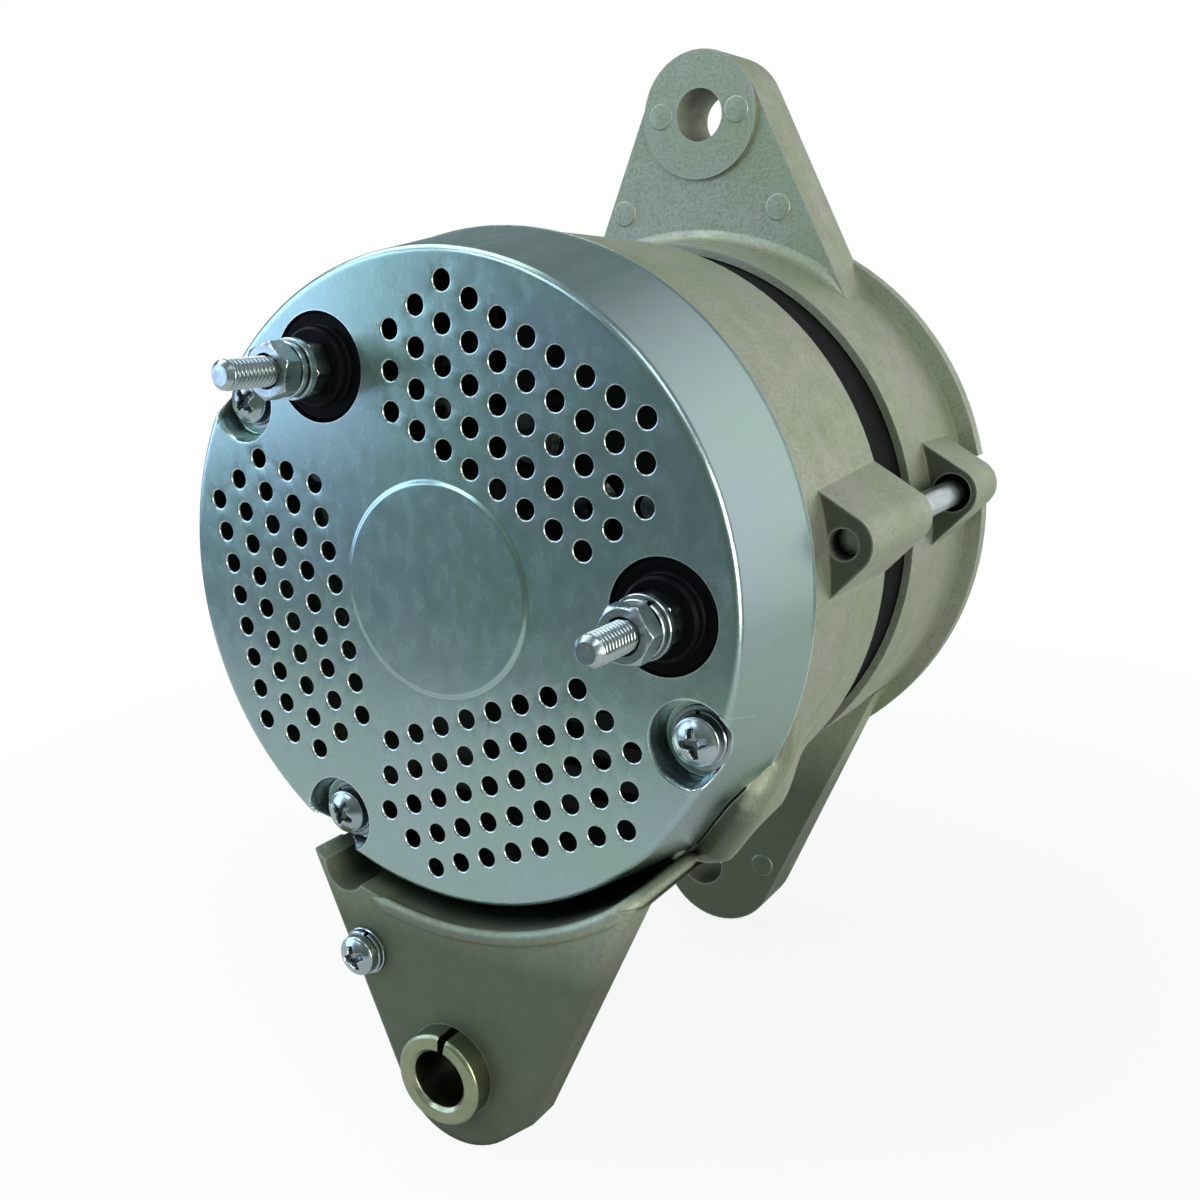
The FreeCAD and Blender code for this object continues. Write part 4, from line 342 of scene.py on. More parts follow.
def gridShape(x, y, z, wrapRows=False, wrapColumns=True, caps=False):
    # The grid's points row by row with their faces. Caps close its first and its last column.
    rows, columns = x.shape
    faces = gridFaces(rows, columns, wrapRows, wrapColumns)
    if caps:
        faces.append((np.arange(rows) * columns).tolist())
        faces.append((np.arange(rows)[::-1] * columns + columns - 1).tolist())
    return np.stack([x, y, z], axis=-1).reshape(-1, 3), faces


def aroundCentre(centre, radius, angle):
    # x = centre + radius cos a, z = centre + radius sin a.
    return centre[0] + radius * np.cos(angle), centre[1] + radius * np.sin(angle)


def turnShape(profile, segments, centre, closed=False):
    # Each profile point (radius, y) goes the whole way round its centre.
    radius, along = np.array(profile, float).T
    angle = np.radians(np.linspace(0.0, 360.0, segments, endpoint=False))
    x, z = aroundCentre(centre, radius[:, None], angle)
    return gridShape(x, along[:, None] + 0.0 * x, z, wrapRows=closed)


def carryShape(section, start, sweep, segments, centre, lift=0.0):
    # The section's closed outline (radius, y) goes part of the way round its centre, rises evenly by the lift
    # along Y, and has a flat cap at each end.
    radius, along = np.array(section, float).T
    share = np.linspace(0.0, 1.0, segments)
    x, z = aroundCentre(centre, radius[:, None], np.radians(start + sweep * share))
    return gridShape(x, along[:, None] + lift * share, z, wrapRows=True, wrapColumns=False, caps=True)


def bandShape(radius, y, angle):
    # Closed outlines (radius, y), one at each angle about the shaft, with a flat cap at each end.
    x, z = aroundCentre((0.0, 0.0), radius, angle)
    return gridShape(x, y, z, wrapRows=True, wrapColumns=False, caps=True)


def joinShapes(shapes):
    # Each shape's points follow those before it, and its faces count on from there.
    points, faces, count = [], [], 0
    for shapePoints, shapeFaces in shapes:
        points.append(shapePoints)
        faces += [[index + count for index in face] for face in shapeFaces]
        count += len(shapePoints)
    return np.concatenate(points), faces


def polar(circle, angle):
    # x = circle cos a, z = circle sin a.
    return circle * math.cos(math.radians(angle)), circle * math.sin(math.radians(angle))


def smoothStep(value):
    # From 0 to 1 by three times the square less twice the cube.
    value = np.clip(value, 0.0, 1.0)
    return value * value * (3.0 - 2.0 * value)


def bodyOf(node):
    return frame["nodes"][node]["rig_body"]


def makePiece(name, mesh, nodes, sheet=0.0, bevel=0.0, bevelAngle=35.0, standsFor=True):
    # The piece takes the finish and the body of the node that it stands for or sits on.
    node = nodes[0]
    slot = slotOf[node]
    mesh.materials.clear()
    mesh.materials.append(finishes[slot])
    mesh.shade_smooth()
    mesh.set_sharp_from_angle(angle=math.radians(bevelAngle))
    piece = placeObject(name, mesh)
    if sheet:
        wall = piece.modifiers.new("Sheet", "SOLIDIFY")
        wall.thickness = sheet * mm
        wall.offset = -1.0
        wall.use_even_offset = True
    if bevel:
        rounding = piece.modifiers.new("Edges", "BEVEL")
        rounding.width = bevel * mm
        rounding.segments = 2
        rounding.limit_method = "ANGLE"
        rounding.angle_limit = math.radians(bevelAngle)
        rounding.use_clamp_overlap = True
    weighted = piece.modifiers.new("Normals", "WEIGHTED_NORMAL")
    weighted.keep_sharp = True
    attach(piece, bodyOf(node))
    if standsFor:
        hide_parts(*nodes)
    print("  ", name, len(mesh.polygons), "faces")
    return piece


# Points closer than merge become one, edges shorter than sliver go, faces that lean less than flat are
# joined, and a corner line takes with it the points within corner of it.
meshCare = {"merge": 0.002 * mm, "sliver": 0.001 * mm, "flat": math.radians(0.6), "corner": 0.2 * mm}


def addPiece(name, shapes, nodes, **settings):
    # The shapes become one clean mesh whose faces point outwards.
    points, faces = joinShapes(shapes)
    mesh = bpy.data.meshes.new(name)
    mesh.from_pydata(points * mm, [], faces)
    solid = bmesh.new()
    solid.from_mesh(mesh)
    bmesh.ops.remove_doubles(solid, verts=solid.verts, dist=meshCare["merge"])
    bmesh.ops.dissolve_degenerate(solid, edges=solid.edges, dist=meshCare["sliver"])
    bmesh.ops.recalc_face_normals(solid, faces=solid.faces)
    solid.to_mesh(mesh)
    solid.free()
    return makePiece(name, mesh, nodes, **settings)


def slideCorners(mesh, moves):
    # Each corner line along Y goes straight across to its new place, so that the faces at it stay flat.
    points = np.empty(len(mesh.vertices) * 3)
    mesh.vertices.foreach_get("co", points)
    points = points.reshape(-1, 3)
    for (x, z), (newX, newZ) in moves:
        near = np.hypot(points[:, 0] - x * mm, points[:, 2] - z * mm) < meshCare["corner"]
        points[near] += np.array([newX - x, 0.0, newZ - z]) * mm
    mesh.vertices.foreach_set("co", points.ravel())


def roundNode(name, node, moves=(), **settings):
    # The node's own surface with its loose triangles merged, its flat faces joined and its edges rounded.
    mesh = frame["nodes"][node].data.copy()
    mesh.name = name
    solid = bmesh.new()
    solid.from_mesh(mesh)
    bmesh.ops.remove_doubles(solid, verts=solid.verts, dist=meshCare["merge"])
    bmesh.ops.dissolve_limit(solid, angle_limit=meshCare["flat"], verts=solid.verts, edges=solid.edges)
    solid.to_mesh(mesh)
    solid.free()
    slideCorners(mesh, moves)
    return makePiece(name, mesh, [node], **settings)


# The pressed rear cover

# Rings, steps and grids say where the mesh has its points. A flare step is (how far before the end, share
# of the flare), and a hole's edge is (how far out from the hole, how far sunk).
coverLook = {
    "faceY": -158.0, "endY": -133.8, "rimRadius": 65.3, "rimGap": 0.5, "endRadius": 69.0,
    "endFlare": 0.35, "flareSteps": ((1.0, 0.0), (0.6, 0.25), (0.0, 1.0)), "edgeRounding": 1.6,
    "roundingSteps": 9, "wallRings": 9, "sheet": 1.2, "embossRadius": 21.0, "embossSlope": 0.8,
    "embossRise": 0.5, "embossRings": (-0.8, -0.3, 0.0, 0.3, 0.6, 0.9, 1.2, 1.5, 2.0),
    "embossFoot": 1.2, "dentCircle": 60.0, "dentAngles": (-20.8, 145.2, 242.2), "dentRadius": 8.5,
    "dentFloorY": -153.0, "dentSlope": 1.2, "dentWallSlope": 2.4, "dentWallReach": 3.0,
    "dentRings": (-1.5, 0.3, 10), "dentSegments": 88, "dentGap": 0.3, "patchReach": (-0.1, 10.0),
    "patchAngle": 9.0, "patchGrid": (42, 91), "thinReach": 1.2, "thinRim": 3.0, "thinShare": 0.15,
    "screwHoleRadius": 2.8, "screwHoleSegments": 32, "terminalCircle": 50.4,
    "terminalAngles": (1.7, 123.1), "openingRadius": 11.0, "openingSegments": 96, "holeRadius": 2.0,
    "holeEdge": ((0.0, 0.34), (0.12, 0.12), (0.34, 0.0)), "holePitch": 7.0, "rowPitch": 7.0,
    "groupCircle": 40.0, "groupAngles": (62.3, 191.7, 292.3), "middleRow": 10, "outerRows": 2,
    "holeSegments": 20, "ringSegments": 224, "weldDistance": 1e-5,
}
dentSpots = [polar(coverLook["dentCircle"], angle) for angle in coverLook["dentAngles"]]
terminalSpots = [polar(coverLook["terminalCircle"], angle) for angle in coverLook["terminalAngles"]]


def airHoles(look):
    # Rows square to the radius of each group, each one hole shorter than the row nearer the middle.
    spots = []
    for angle in look["groupAngles"]:
        cos, sin = math.cos(math.radians(angle)), math.sin(math.radians(angle))
        for row in range(-look["outerRows"], look["outerRows"] + 1):
            count = look["middleRow"] - abs(row)
            out = look["groupCircle"] + row * look["rowPitch"]
            for i in range(count):
                side = (i - (count - 1) / 2) * look["holePitch"]
                spots.append((out * cos - side * sin, out * sin + side * cos))
    return spots


def circlePoints(centre, radius, segments):
    # Points evenly round a circle on the flat sheet.
    angle = np.linspace(0.0, 2.0 * math.pi, segments, endpoint=False)
    return np.stack(aroundCentre(centre, radius, angle), axis=-1)


def nearestDistance(x, z, spots):
    # The distance of each point to the nearest of the spots.
    near = np.full(len(x), np.inf)
    for spotX, spotZ in spots:
        near = np.minimum(near, np.hypot(x - spotX, z - spotZ))
    return near


def coverProfile(look):
    # The cover's outline from its middle to its open end, as (distance along the surface, radius, y): emboss,
    # face, the rim's quarter curve, leaning wall and flared end.
    lean = math.atan2(look["endRadius"] - look["rimRadius"], look["endY"] - look["faceY"])
    rounding = look["edgeRounding"]
    reach = rounding * math.tan((math.pi / 2 - lean) / 2)
    swing = np.linspace(0.0, 1.0, look["roundingSteps"]) * (math.pi / 2 - lean)
    arcRadius = look["rimRadius"] - reach + rounding * np.sin(swing)
    arcY = look["faceY"] + rounding * (1.0 - np.cos(swing))
    back, share = np.array(look["flareSteps"]).T
    flareRadius = look["endRadius"] + look["endFlare"] * share
    embossFoot = look["embossRadius"] + look["embossSlope"]
    embossY = look["faceY"] - look["embossRise"]
    radius = np.array([0.0, look["embossRadius"], embossFoot, *arcRadius, *flareRadius])
    along = np.array([embossY, embossY, look["faceY"], *arcY, *(look["endY"] - back)])
    distance = np.concatenate([[0.0], np.cumsum(np.hypot(np.diff(radius), np.diff(along)))])
    return distance, radius, along


def rimPatch(look, rimStart, angle):
    # A close grid of (distance along the profile, angle) where a dent breaks through the rim.
    rows, columns = look["patchGrid"]
    start, end = look["patchReach"]
    level = np.linspace(rimStart + start, rimStart + end, rows)
    turn = np.radians(angle + np.linspace(-look["patchAngle"], look["patchAngle"], columns))
    level, turn = np.meshgrid(level, turn)
    return np.stack([level * np.cos(turn), level * np.sin(turn)], axis=-1).reshape(-1, 2)


def pressCover(look):
    # The sheet is a disc whose points are (distance along the profile, angle). A flat triangulation cuts
    # the holes in the disc, then each point goes to its radius and y on the profile. At an air hole's edge
    # y follows the rolled-in edge of the punch, and inside a dent it goes down to the dent's floor by a
    # smooth step of the distance from the dent's axis.
    distance, radius, along = coverProfile(look)
    rimStart, wallStart, wallEnd = distance[3], distance[-4], distance[-1]
    points, edges = [], []

    def addRing(centre, size, segments, cut):
        first = sum(len(part) for part in points)
        points.append(circlePoints(centre, size, segments))
        if cut:
            order = np.arange(segments)
            edges.extend(np.stack([first + order, first + (order + 1) % segments], axis=-1).tolist())

    holes = airHoles(look)
    cuts = [(spot, look["holeRadius"], look["holeSegments"]) for spot in holes]
    cuts += [(spot, look["openingRadius"], look["openingSegments"]) for spot in terminalSpots]
    cuts += [(spot, look["screwHoleRadius"], look["screwHoleSegments"]) for spot in dentSpots]
    for centre, size, segments in cuts:
        addRing(centre, size, segments, True)
    for wider, _ in look["holeEdge"][1:]:
        for spot in holes:
            addRing(spot, look["holeRadius"] + wider, look["holeSegments"], False)
    emboss = distance[1] + np.array(look["embossRings"]) * (distance[2] - distance[1]) / look["embossFoot"]
    wall = np.linspace(wallStart, distance[-3], look["wallRings"])[1:-1]
    for size in (*emboss, rimStart - look["rimGap"], *distance[3:-1], *wall):
        addRing((0.0, 0.0), size, look["ringSegments"], False)
    addRing((0.0, 0.0), wallEnd, look["ringSegments"], True)
    for angle, spot in zip(look["dentAngles"], dentSpots):
        for size in look["dentRadius"] + np.linspace(*look["dentRings"]) * look["dentSlope"]:
            ring = circlePoints(spot, size, look["dentSegments"])
            points.append(ring[np.hypot(*ring.T) < rimStart - look["dentGap"]])
        points.append(rimPatch(look, rimStart, angle))
    flat = [Vector(point) for point in np.concatenate(points).tolist()]
    corners, _, triangles, *_ = delaunay_2d_cdt(flat, edges, [], 0, look["weldDistance"], False)
    flat = np.array([tuple(corner) for corner in corners])
    triangles = np.array(triangles)
    middle = flat[triangles].mean(axis=1)
    kept = np.hypot(*middle.T) < wallEnd
    for centre, size, segments in cuts:
        kept &= np.hypot(middle[:, 0] - centre[0], middle[:, 1] - centre[1]) > size
    used, triangles = np.unique(triangles[kept], return_inverse=True)
    flat = flat[used]
    reach, turn = np.hypot(*flat.T), np.arctan2(flat[:, 1], flat[:, 0])
    out = np.interp(reach, distance, radius)
    x, y, z = out * np.cos(turn), np.interp(reach, distance, along), out * np.sin(turn)
    wider, sunk = np.array(look["holeEdge"]).T
    y = y + np.interp(nearestDistance(*flat.T, holes) - look["holeRadius"], wider, sunk)
    wallShare = np.clip((reach - rimStart) / look["dentWallReach"], 0.0, 1.0)
    slope = look["dentSlope"] + look["dentWallSlope"] * wallShare
    for spotX, spotZ in dentSpots:
        inside = (look["dentRadius"] - np.hypot(x - spotX, z - spotZ)) / slope
        y = y + np.maximum(look["dentFloorY"] - y, 0.0) * smoothStep(inside)
    return np.stack([x, y, z], axis=-1), triangles.reshape(-1, 3).tolist()


def thinSheet(piece, look):
    # The sheet is drawn thin where a dent breaks through the rim, and its inner face stays behind the outer.
    points = np.empty(len(piece.data.vertices) * 3)
    piece.data.vertices.foreach_get("co", points)
    x, _, z = points.reshape(-1, 3).T / mm
    nearDent = nearestDistance(x, z, dentSpots) - look["dentRadius"] < look["thinReach"]
    thin = nearDent & (np.hypot(x, z) > look["rimRadius"] - look["thinRim"])
    group = piece.vertex_groups.new(name="Sheet")
    group.add(np.flatnonzero(~thin).tolist(), 1.0, "REPLACE")
    group.add(np.flatnonzero(thin).tolist(), look["thinShare"], "REPLACE")
    piece.modifiers["Sheet"].vertex_group = group.name


cover = addPiece("RearCover", [pressCover(coverLook)], ["rear_cover"], sheet=coverLook["sheet"], bevel=0.14,
                 bevelAngle=50.0)
thinSheet(cover, coverLook)


# Nuts, screws, washers and studs

def nutShape(look, centre, rearY, turn):
    # Six flats: the radius is half the flats over cos of the angle to the nearest flat's middle, cut down
    # near each face by a cone, so that the corners show the curved edge of a chamfer.
    half = look["flats"] / 2
    coneStart = half * look["coneStart"]
    angle = np.radians(np.linspace(0.0, 360.0, look["segments"], endpoint=False))
    hexagon = half / np.cos((angle + math.pi / 6) % (math.pi / 3) - math.pi / 6)
    rise = np.linspace(0.0, (half / math.cos(math.pi / 6) - coneStart) / look["chamferSlope"], look["steps"])
    chamfer = coneStart + rise * look["chamferSlope"]
    inner = [look["bore"], look["bore"], look["bore"] + look["countersink"]]
    level = np.concatenate([[look["height"] / 2, look["countersink"], 0.0], rise, look["height"] - rise[::-1],
                            [look["height"], look["height"] - look["countersink"]]])
    cone = np.concatenate([inner, chamfer, chamfer[::-1], inner[::-1][:2]])
    radius = np.minimum(cone[:, None], hexagon[None, :])
    x, z = aroundCentre(centre, radius, angle + math.radians(turn))
    return gridShape(x, rearY + level[:, None] + 0.0 * x, z, wrapRows=True)


def studShape(look, centre):
    # A screw thread: the radius falls from its crest by a triangle wave of the turns, which are y / pitch
    # less angle / 360, and fades in at the plain end. A tip point is (how far in from the root, how far on).
    angle = np.linspace(0.0, 2.0 * math.pi, look["segments"], endpoint=False)
    along = np.arange(look["tipY"] + look["plain"], look["endY"], look["pitch"] / look["steps"])
    phase = (along[:, None] / look["pitch"] - angle / (2.0 * math.pi)) % 1.0
    wave = np.clip(np.abs(2.0 * phase - 1.0) * look["steepness"], 0.0, 1.0)
    fade = smoothStep((along - along[0]) / look["pitch"])[:, None]
    thread = look["crest"] - look["depth"] * (fade * (1.0 - wave) + look["plainDepth"] * (1.0 - fade))
    inward, onward = np.array(look["tip"]).T
    tip = np.concatenate([[0.0], look["crest"] - look["depth"] - inward])
    radius = np.concatenate([tip[:, None] + 0.0 * angle, thread, np.zeros((1, len(angle)))])
    level = np.concatenate([[look["tipY"]], look["tipY"] + onward, along, along[-1:]])
    x, z = aroundCentre(centre, radius, angle)
    return gridShape(x, level[:, None] + 0.0 * x, z)


def panHeadShape(look, centre, turn):
    # A domed head: y falls with a power of the radius towards the rim. A cross of two tapering bars is sunk
    # into it by a smooth step of the distance from each bar's middle line.
    angle = np.radians(np.linspace(0.0, 360.0, look["segments"], endpoint=False))
    cross, edge, topY, seatY = look["cross"], look["edge"], look["topY"], look["seatY"]
    crossEnd, crossRings = look["crossRings"]
    domeStart, domeRings = look["domeRings"]
    radius = np.concatenate([np.linspace(0.0, cross * crossEnd, crossRings),
                             np.linspace(cross * domeStart, look["radius"] - edge, domeRings)])
    dome = topY + (seatY - topY) * look["crown"] * (radius / look["radius"]) ** look["crownPower"]
    u = radius[:, None] * np.cos(angle - math.radians(turn))
    v = radius[:, None] * np.sin(angle - math.radians(turn))
    bars = []
    for across, onward in ((np.abs(u), np.abs(v)), (np.abs(v), np.abs(u))):
        side = smoothStep((look["bar"] - look["barTaper"] * onward - across) / look["barSoft"] + 0.5)
        bars.append(side * smoothStep((cross - onward) / look["barEnd"]))
    sunk = np.maximum(*bars) * look["crossDepth"] * (1.0 - look["crossRise"] * radius[:, None] / cross)
    swing = np.linspace(0.0, math.pi / 2, 5)[1:]
    rimY = [*(dome[-1] + edge * (1.0 - np.cos(swing))), seatY, seatY]
    level = np.concatenate([dome[:, None] + sunk, np.array(rimY)[:, None] + 0.0 * angle])
    radius = np.concatenate([radius, look["radius"] - edge + edge * np.sin(swing), [look["radius"], 0.0]])
    x, z = aroundCentre(centre, radius[:, None], angle)
    return gridShape(x, level, z)


def ringSection(look, rearY, frontY):
    # A washer's outline (radius, y): a rectangle whose four corners are cut off by the edge.
    inner, outer, edge = look["inner"], look["outer"], look["edge"]
    return [(inner, rearY + edge), (inner + edge, rearY), (outer - edge, rearY), (outer, rearY + edge),
            (outer, frontY - edge), (outer - edge, frontY), (inner + edge, frontY), (inner, frontY - edge)]


def washerShape(look, centre, rearY, frontY):
    return turnShape(ringSection(look, rearY, frontY), look["segments"], centre, closed=True)


def springWasherShape(look, centre, rearY, frontY, start):
    # A split ring: its section goes round from the start and rises by the lift, so that its ends stand apart.
    section = ringSection(look, rearY, frontY - look["lift"])
    return carryShape(section, start, look["sweep"], look["segments"], centre, look["lift"])


def insulatorSection(look):
    # The outline (radius, y) of a boss with a cut edge, the wider disc under it, and the disc's neck.
    bore, boss, disc, neck = look["bore"], look["bossRadius"], look["discRadius"], look["neckRadius"]
    bossY, discY, edge, rise = look["insulatorRearY"], look["discRearY"], look["edge"], look["edgeRise"]
    return [(bore, bossY + rise), (look["boreEdge"], bossY), (boss - edge, bossY), (boss, bossY + edge),
            (boss + look["draft"], discY - rise), (boss + look["fillet"], discY), (disc - edge, discY),
            (disc, discY + edge), (disc, look["discFrontY"]), (neck, look["discFrontY"]),
            (neck, look["neckFrontY"]), (bore, look["neckFrontY"])]


terminalLook = {
    "insulatorRearY": -160.0, "bore": 3.1, "boreEdge": 3.4, "bossRadius": 7.8, "draft": 0.1,
    "fillet": 0.4, "edge": 0.5, "edgeRise": 0.3, "discRadius": 10.7, "discRearY": -157.6,
    "discFrontY": -153.6, "neckRadius": 7.0, "neckFrontY": -143.0, "segments": 96, "lowerNutY": -164.6,
    "washerY": -166.2, "springY": -167.9, "upperNutY": -172.5, "lowerNutTurns": (8.0, 22.0),
    "upperNutTurns": (34.0, 50.0), "springStarts": (70.0, 200.0),
}
nutLook = {
    "flats": 10.0, "height": 4.6, "bore": 3.03, "countersink": 0.45, "chamferSlope": 1.5,
    "coneStart": 0.96, "segments": 96, "steps": 7,
}
studLook = {
    "tipY": -184.0, "endY": -171.5, "plain": 0.9, "plainDepth": 0.25, "tip": ((0.5, 0.0), (0.1, 0.35)),
    "crest": 2.97, "depth": 0.55, "pitch": 1.0, "steepness": 1.25, "segments": 40, "steps": 10,
}
washerLook = {"inner": 3.3, "outer": 6.0, "edge": 0.15, "segments": 72}
springLook = {"inner": 3.3, "outer": 5.4, "edge": 0.2, "segments": 72, "sweep": 350.0, "lift": 0.35}

insulator = insulatorSection(terminalLook)
insulators = [turnShape(insulator, terminalLook["segments"], spot, closed=True) for spot in terminalSpots]
addPiece("TerminalInsulators", insulators, ["terminal_insulators"])
nutRows = (
    ("LowerNuts", "terminal_lower_nuts", terminalLook["lowerNutY"], terminalLook["lowerNutTurns"]),
    ("UpperNuts", "terminal_upper_nuts", terminalLook["upperNutY"], terminalLook["upperNutTurns"]),
)
for pieceName, nodeName, nutY, turns in nutRows:
    nuts = [nutShape(nutLook, spot, nutY, turn) for spot, turn in zip(terminalSpots, turns)]
    addPiece(pieceName, nuts, [nodeName], bevelAngle=25.0)
studs = [studShape(studLook, spot) for spot in terminalSpots]
addPiece("TerminalStuds", studs, ["terminal_studs"], bevelAngle=40.0)
washerY, springY = terminalLook["washerY"], terminalLook["springY"]
washers = [washerShape(washerLook, spot, washerY, terminalLook["lowerNutY"]) for spot in terminalSpots]
addPiece("TerminalWashers", washers, ["terminal_washers"])
springs = [springWasherShape(springLook, spot, springY, washerY, start)
           for spot, start in zip(terminalSpots, terminalLook["springStarts"])]
addPiece("TerminalSpringWashers", springs, ["terminal_spring_washers"])

screwLook = {
    "turns": (12.0, 38.0, 62.0), "topY": -157.6, "seatY": -154.2, "springFrontY": -153.6,
    "washerFrontY": -153.0, "springStarts": (100.0, 10.0, 130.0), "radius": 4.8, "edge": 0.45,
    "crown": 0.55, "crownPower": 2.4, "cross": 2.9, "crossDepth": 2.3, "crossRise": 0.45, "bar": 1.0,
    "barTaper": 0.16, "barSoft": 0.28, "barEnd": 0.35, "crossRings": (1.15, 26), "domeRings": (1.2, 8),
    "segments": 96,
}
groundLook = screwLook | {
    "spot": (-19.7, -81.5), "turn": 20.0, "topY": -165.4, "seatY": -162.2, "springFrontY": -161.1,
    "washerFrontY": -160.2, "springStart": 80.0, "radius": 4.4, "cross": 2.7,
}
coverWasherLook = washerLook | {"inner": 2.8, "outer": 6.2, "edge": 0.1}
coverSpringLook = springLook | {"inner": 2.8, "outer": 5.3, "lift": 0.05}
groundWasherLook = washerLook | {"inner": 2.8, "outer": 5.2}
groundSpringLook = springLook | {"inner": 2.8, "outer": 4.8, "lift": 0.2}

heads = [panHeadShape(screwLook, spot, turn) for spot, turn in zip(dentSpots, screwLook["turns"])]
addPiece("CoverScrews", heads, ["cover_screws"], bevelAngle=60.0)
seatY, springY, washerY = screwLook["seatY"], screwLook["springFrontY"], screwLook["washerFrontY"]
flats = [washerShape(coverWasherLook, spot, springY, washerY) for spot in dentSpots]
springs = [springWasherShape(coverSpringLook, spot, seatY, springY, start)
           for spot, start in zip(dentSpots, screwLook["springStarts"])]
addPiece("CoverWashers", flats + springs, ["cover_washers"])
groundHead = panHeadShape(groundLook, groundLook["spot"], groundLook["turn"])
addPiece("GroundScrew", [groundHead], ["ground_screw"], bevelAngle=60.0)
spot, seatY, springY = groundLook["spot"], groundLook["seatY"], groundLook["springFrontY"]
groundWashers = [springWasherShape(groundSpringLook, spot, seatY, springY, groundLook["springStart"]),
                 washerShape(groundWasherLook, spot, springY, groundLook["washerFrontY"])]
addPiece("GroundWashers", groundWashers, ["ground_screw_washers"])

bushLook = {
    "centre": (2.0, -103.5), "outer": 10.2, "bore": 6.25, "rearY": -165.2, "frontY": -140.2,
    "chamfer": 0.9, "outerShare": 0.7, "slit": 1.6, "slitShare": 1.25, "slitAngle": 82.0,
    "segments": 120,
}


def bushShape(look):
    # A rolled sleeve: its section goes round from one side of the slit to the other.
    half = math.degrees(math.asin(look["slit"] / 2 / look["outer"])) * look["slitShare"]
    bore, outer, chamfer, rearY = look["bore"], look["outer"], look["chamfer"], look["rearY"]
    outerChamfer = chamfer * look["outerShare"]
    section = [(bore, rearY + chamfer), (bore + chamfer, rearY), (outer - outerChamfer, rearY),
               (outer, rearY + outerChamfer), (outer, look["frontY"]), (bore, look["frontY"])]
    return carryShape(section, look["slitAngle"] + half, 360.0 - 2 * half, look["segments"], look["centre"])


addPiece("PivotBush", [bushShape(bushLook)], ["pivot_bush"], bevel=0.2, bevelAngle=25.0)
print("Fasteners made")


# Castings and the drive end keep the node's own surface

roundedNodes = {
    "rear_bracket": 0.5,
    "front_bracket": 0.6,
    "through_bolts": 0.2,
    "fan": 0.3,
    "pulley": 0.4,
    "pulley_nut": 0.4,
    "pulley_lock_washer": 0.2,
    "rotor_shaft": 0.2,
}
earCorners = {"front_bracket": (((36.5, 60.0), (40.3, 53.0)), ((47.0, -50.0), (50.3, -45.0)))}
for nodeName, width in roundedNodes.items():
    pieceName = "".join(word.capitalize() for word in nodeName.split("_"))
    roundNode(pieceName, nodeName, moves=earCorners.get(nodeName, ()), bevel=width, bevelAngle=32.0)

# An edge point is (how far out from the radius, share of the rise).
markLook = {
    "spots": (
        (-21.3, -47.5, 74.4), (21.4, -47.5, 75.3), (-10.5, -48.5, 97.4), (10.1, -48.5, 98.2),
        (20.6, -42.5, -99.8),
    ),
    "radius": 3.2, "rise": 0.3, "edge": ((-0.5, 1.0), (-0.2, 0.8), (0.0, 0.3)), "footOut": 0.05,
    "sunk": 0.1, "segments": 48,
}
lipLook = {
    "circle": 71.1, "start": -106.0, "turnAt": -56.0, "end": -51.5, "rearY": -159.9, "frontY": -127.0,
    "width": 1.7, "height": 1.5, "steps": (60, 13, 20), "segments": 20, "taperSteps": 6.0,
}
filletLook = {
    "start": 53.0, "end": 118.0, "fade": 9.0, "least": 0.05, "drumRadius": 67.1, "faceY": -47.45,
    "reach": 4.2, "rise": 3.6, "faceSunk": 0.2, "drumSunk": 0.4, "steps": 90, "curveSteps": 10,
}

# The knots give the web's rear end, its outer radius there and what that end stands out more, at each
# angle. The levels give the angle where the web begins, and the share of its rise, at each Y. Its rounded
# edge is (how far in, how far forward).
webLook = {
    "start": -57.0, "end": -19.0, "steps": 90,
    "knots": (
        (-57.0, -128.0, 72.6, 0.4), (-52.0, -131.0, 73.4, 1.8), (-48.0, -134.5, 73.6, 2.3),
        (-44.0, -137.5, 73.7, 1.6), (-40.0, -140.0, 73.8, 0.8), (-36.0, -141.1, 73.8, 0.4),
        (-34.0, -140.8, 73.5, 0.2), (-31.2, -138.9, 72.9, 0.0), (-29.3, -136.7, 72.3, 0.0),
        (-27.0, -134.7, 71.6, 0.0), (-24.0, -133.7, 70.6, 0.0), (-19.0, -133.0, 68.4, 0.0),
    ),
    "levels": (
        (-125.0, -23.5, 1.0), (-120.0, -25.0, 1.0), (-115.0, -27.0, 0.97), (-110.0, -29.0, 0.92),
        (-105.0, -31.0, 0.84), (-100.0, -33.0, 0.72), (-95.0, -35.0, 0.55), (-91.0, -36.0, 0.38),
    ),
    "spread": 14.0, "rise": 5.5, "sunk": 0.4, "innerRadius": 66.2, "clear": 0.35, "shelfInset": 1.0,
    "rearInset": 4.4, "drumEndY": -133.2, "drumRadii": ((-133.5, -89.8), (69.0, 67.2)),
    "edge": ((4.2, 0.0), (3.2, 0.5), (2.0, 1.5), (1.0, 2.8), (0.3, 4.4), (0.0, 6.0)),
}


def markShape(look, spot):
    # A low disc with a rounded edge, as the end of an ejector pin leaves it.
    x, y, z = spot
    size, rise = look["radius"], look["rise"]
    profile = [(0.0, y - rise)] + [(size + out, y - rise * share) for out, share in look["edge"]]
    profile += [(size + look["footOut"], y + look["sunk"]), (0.0, y + look["sunk"])]
    return turnShape(profile, look["segments"], (x, z))


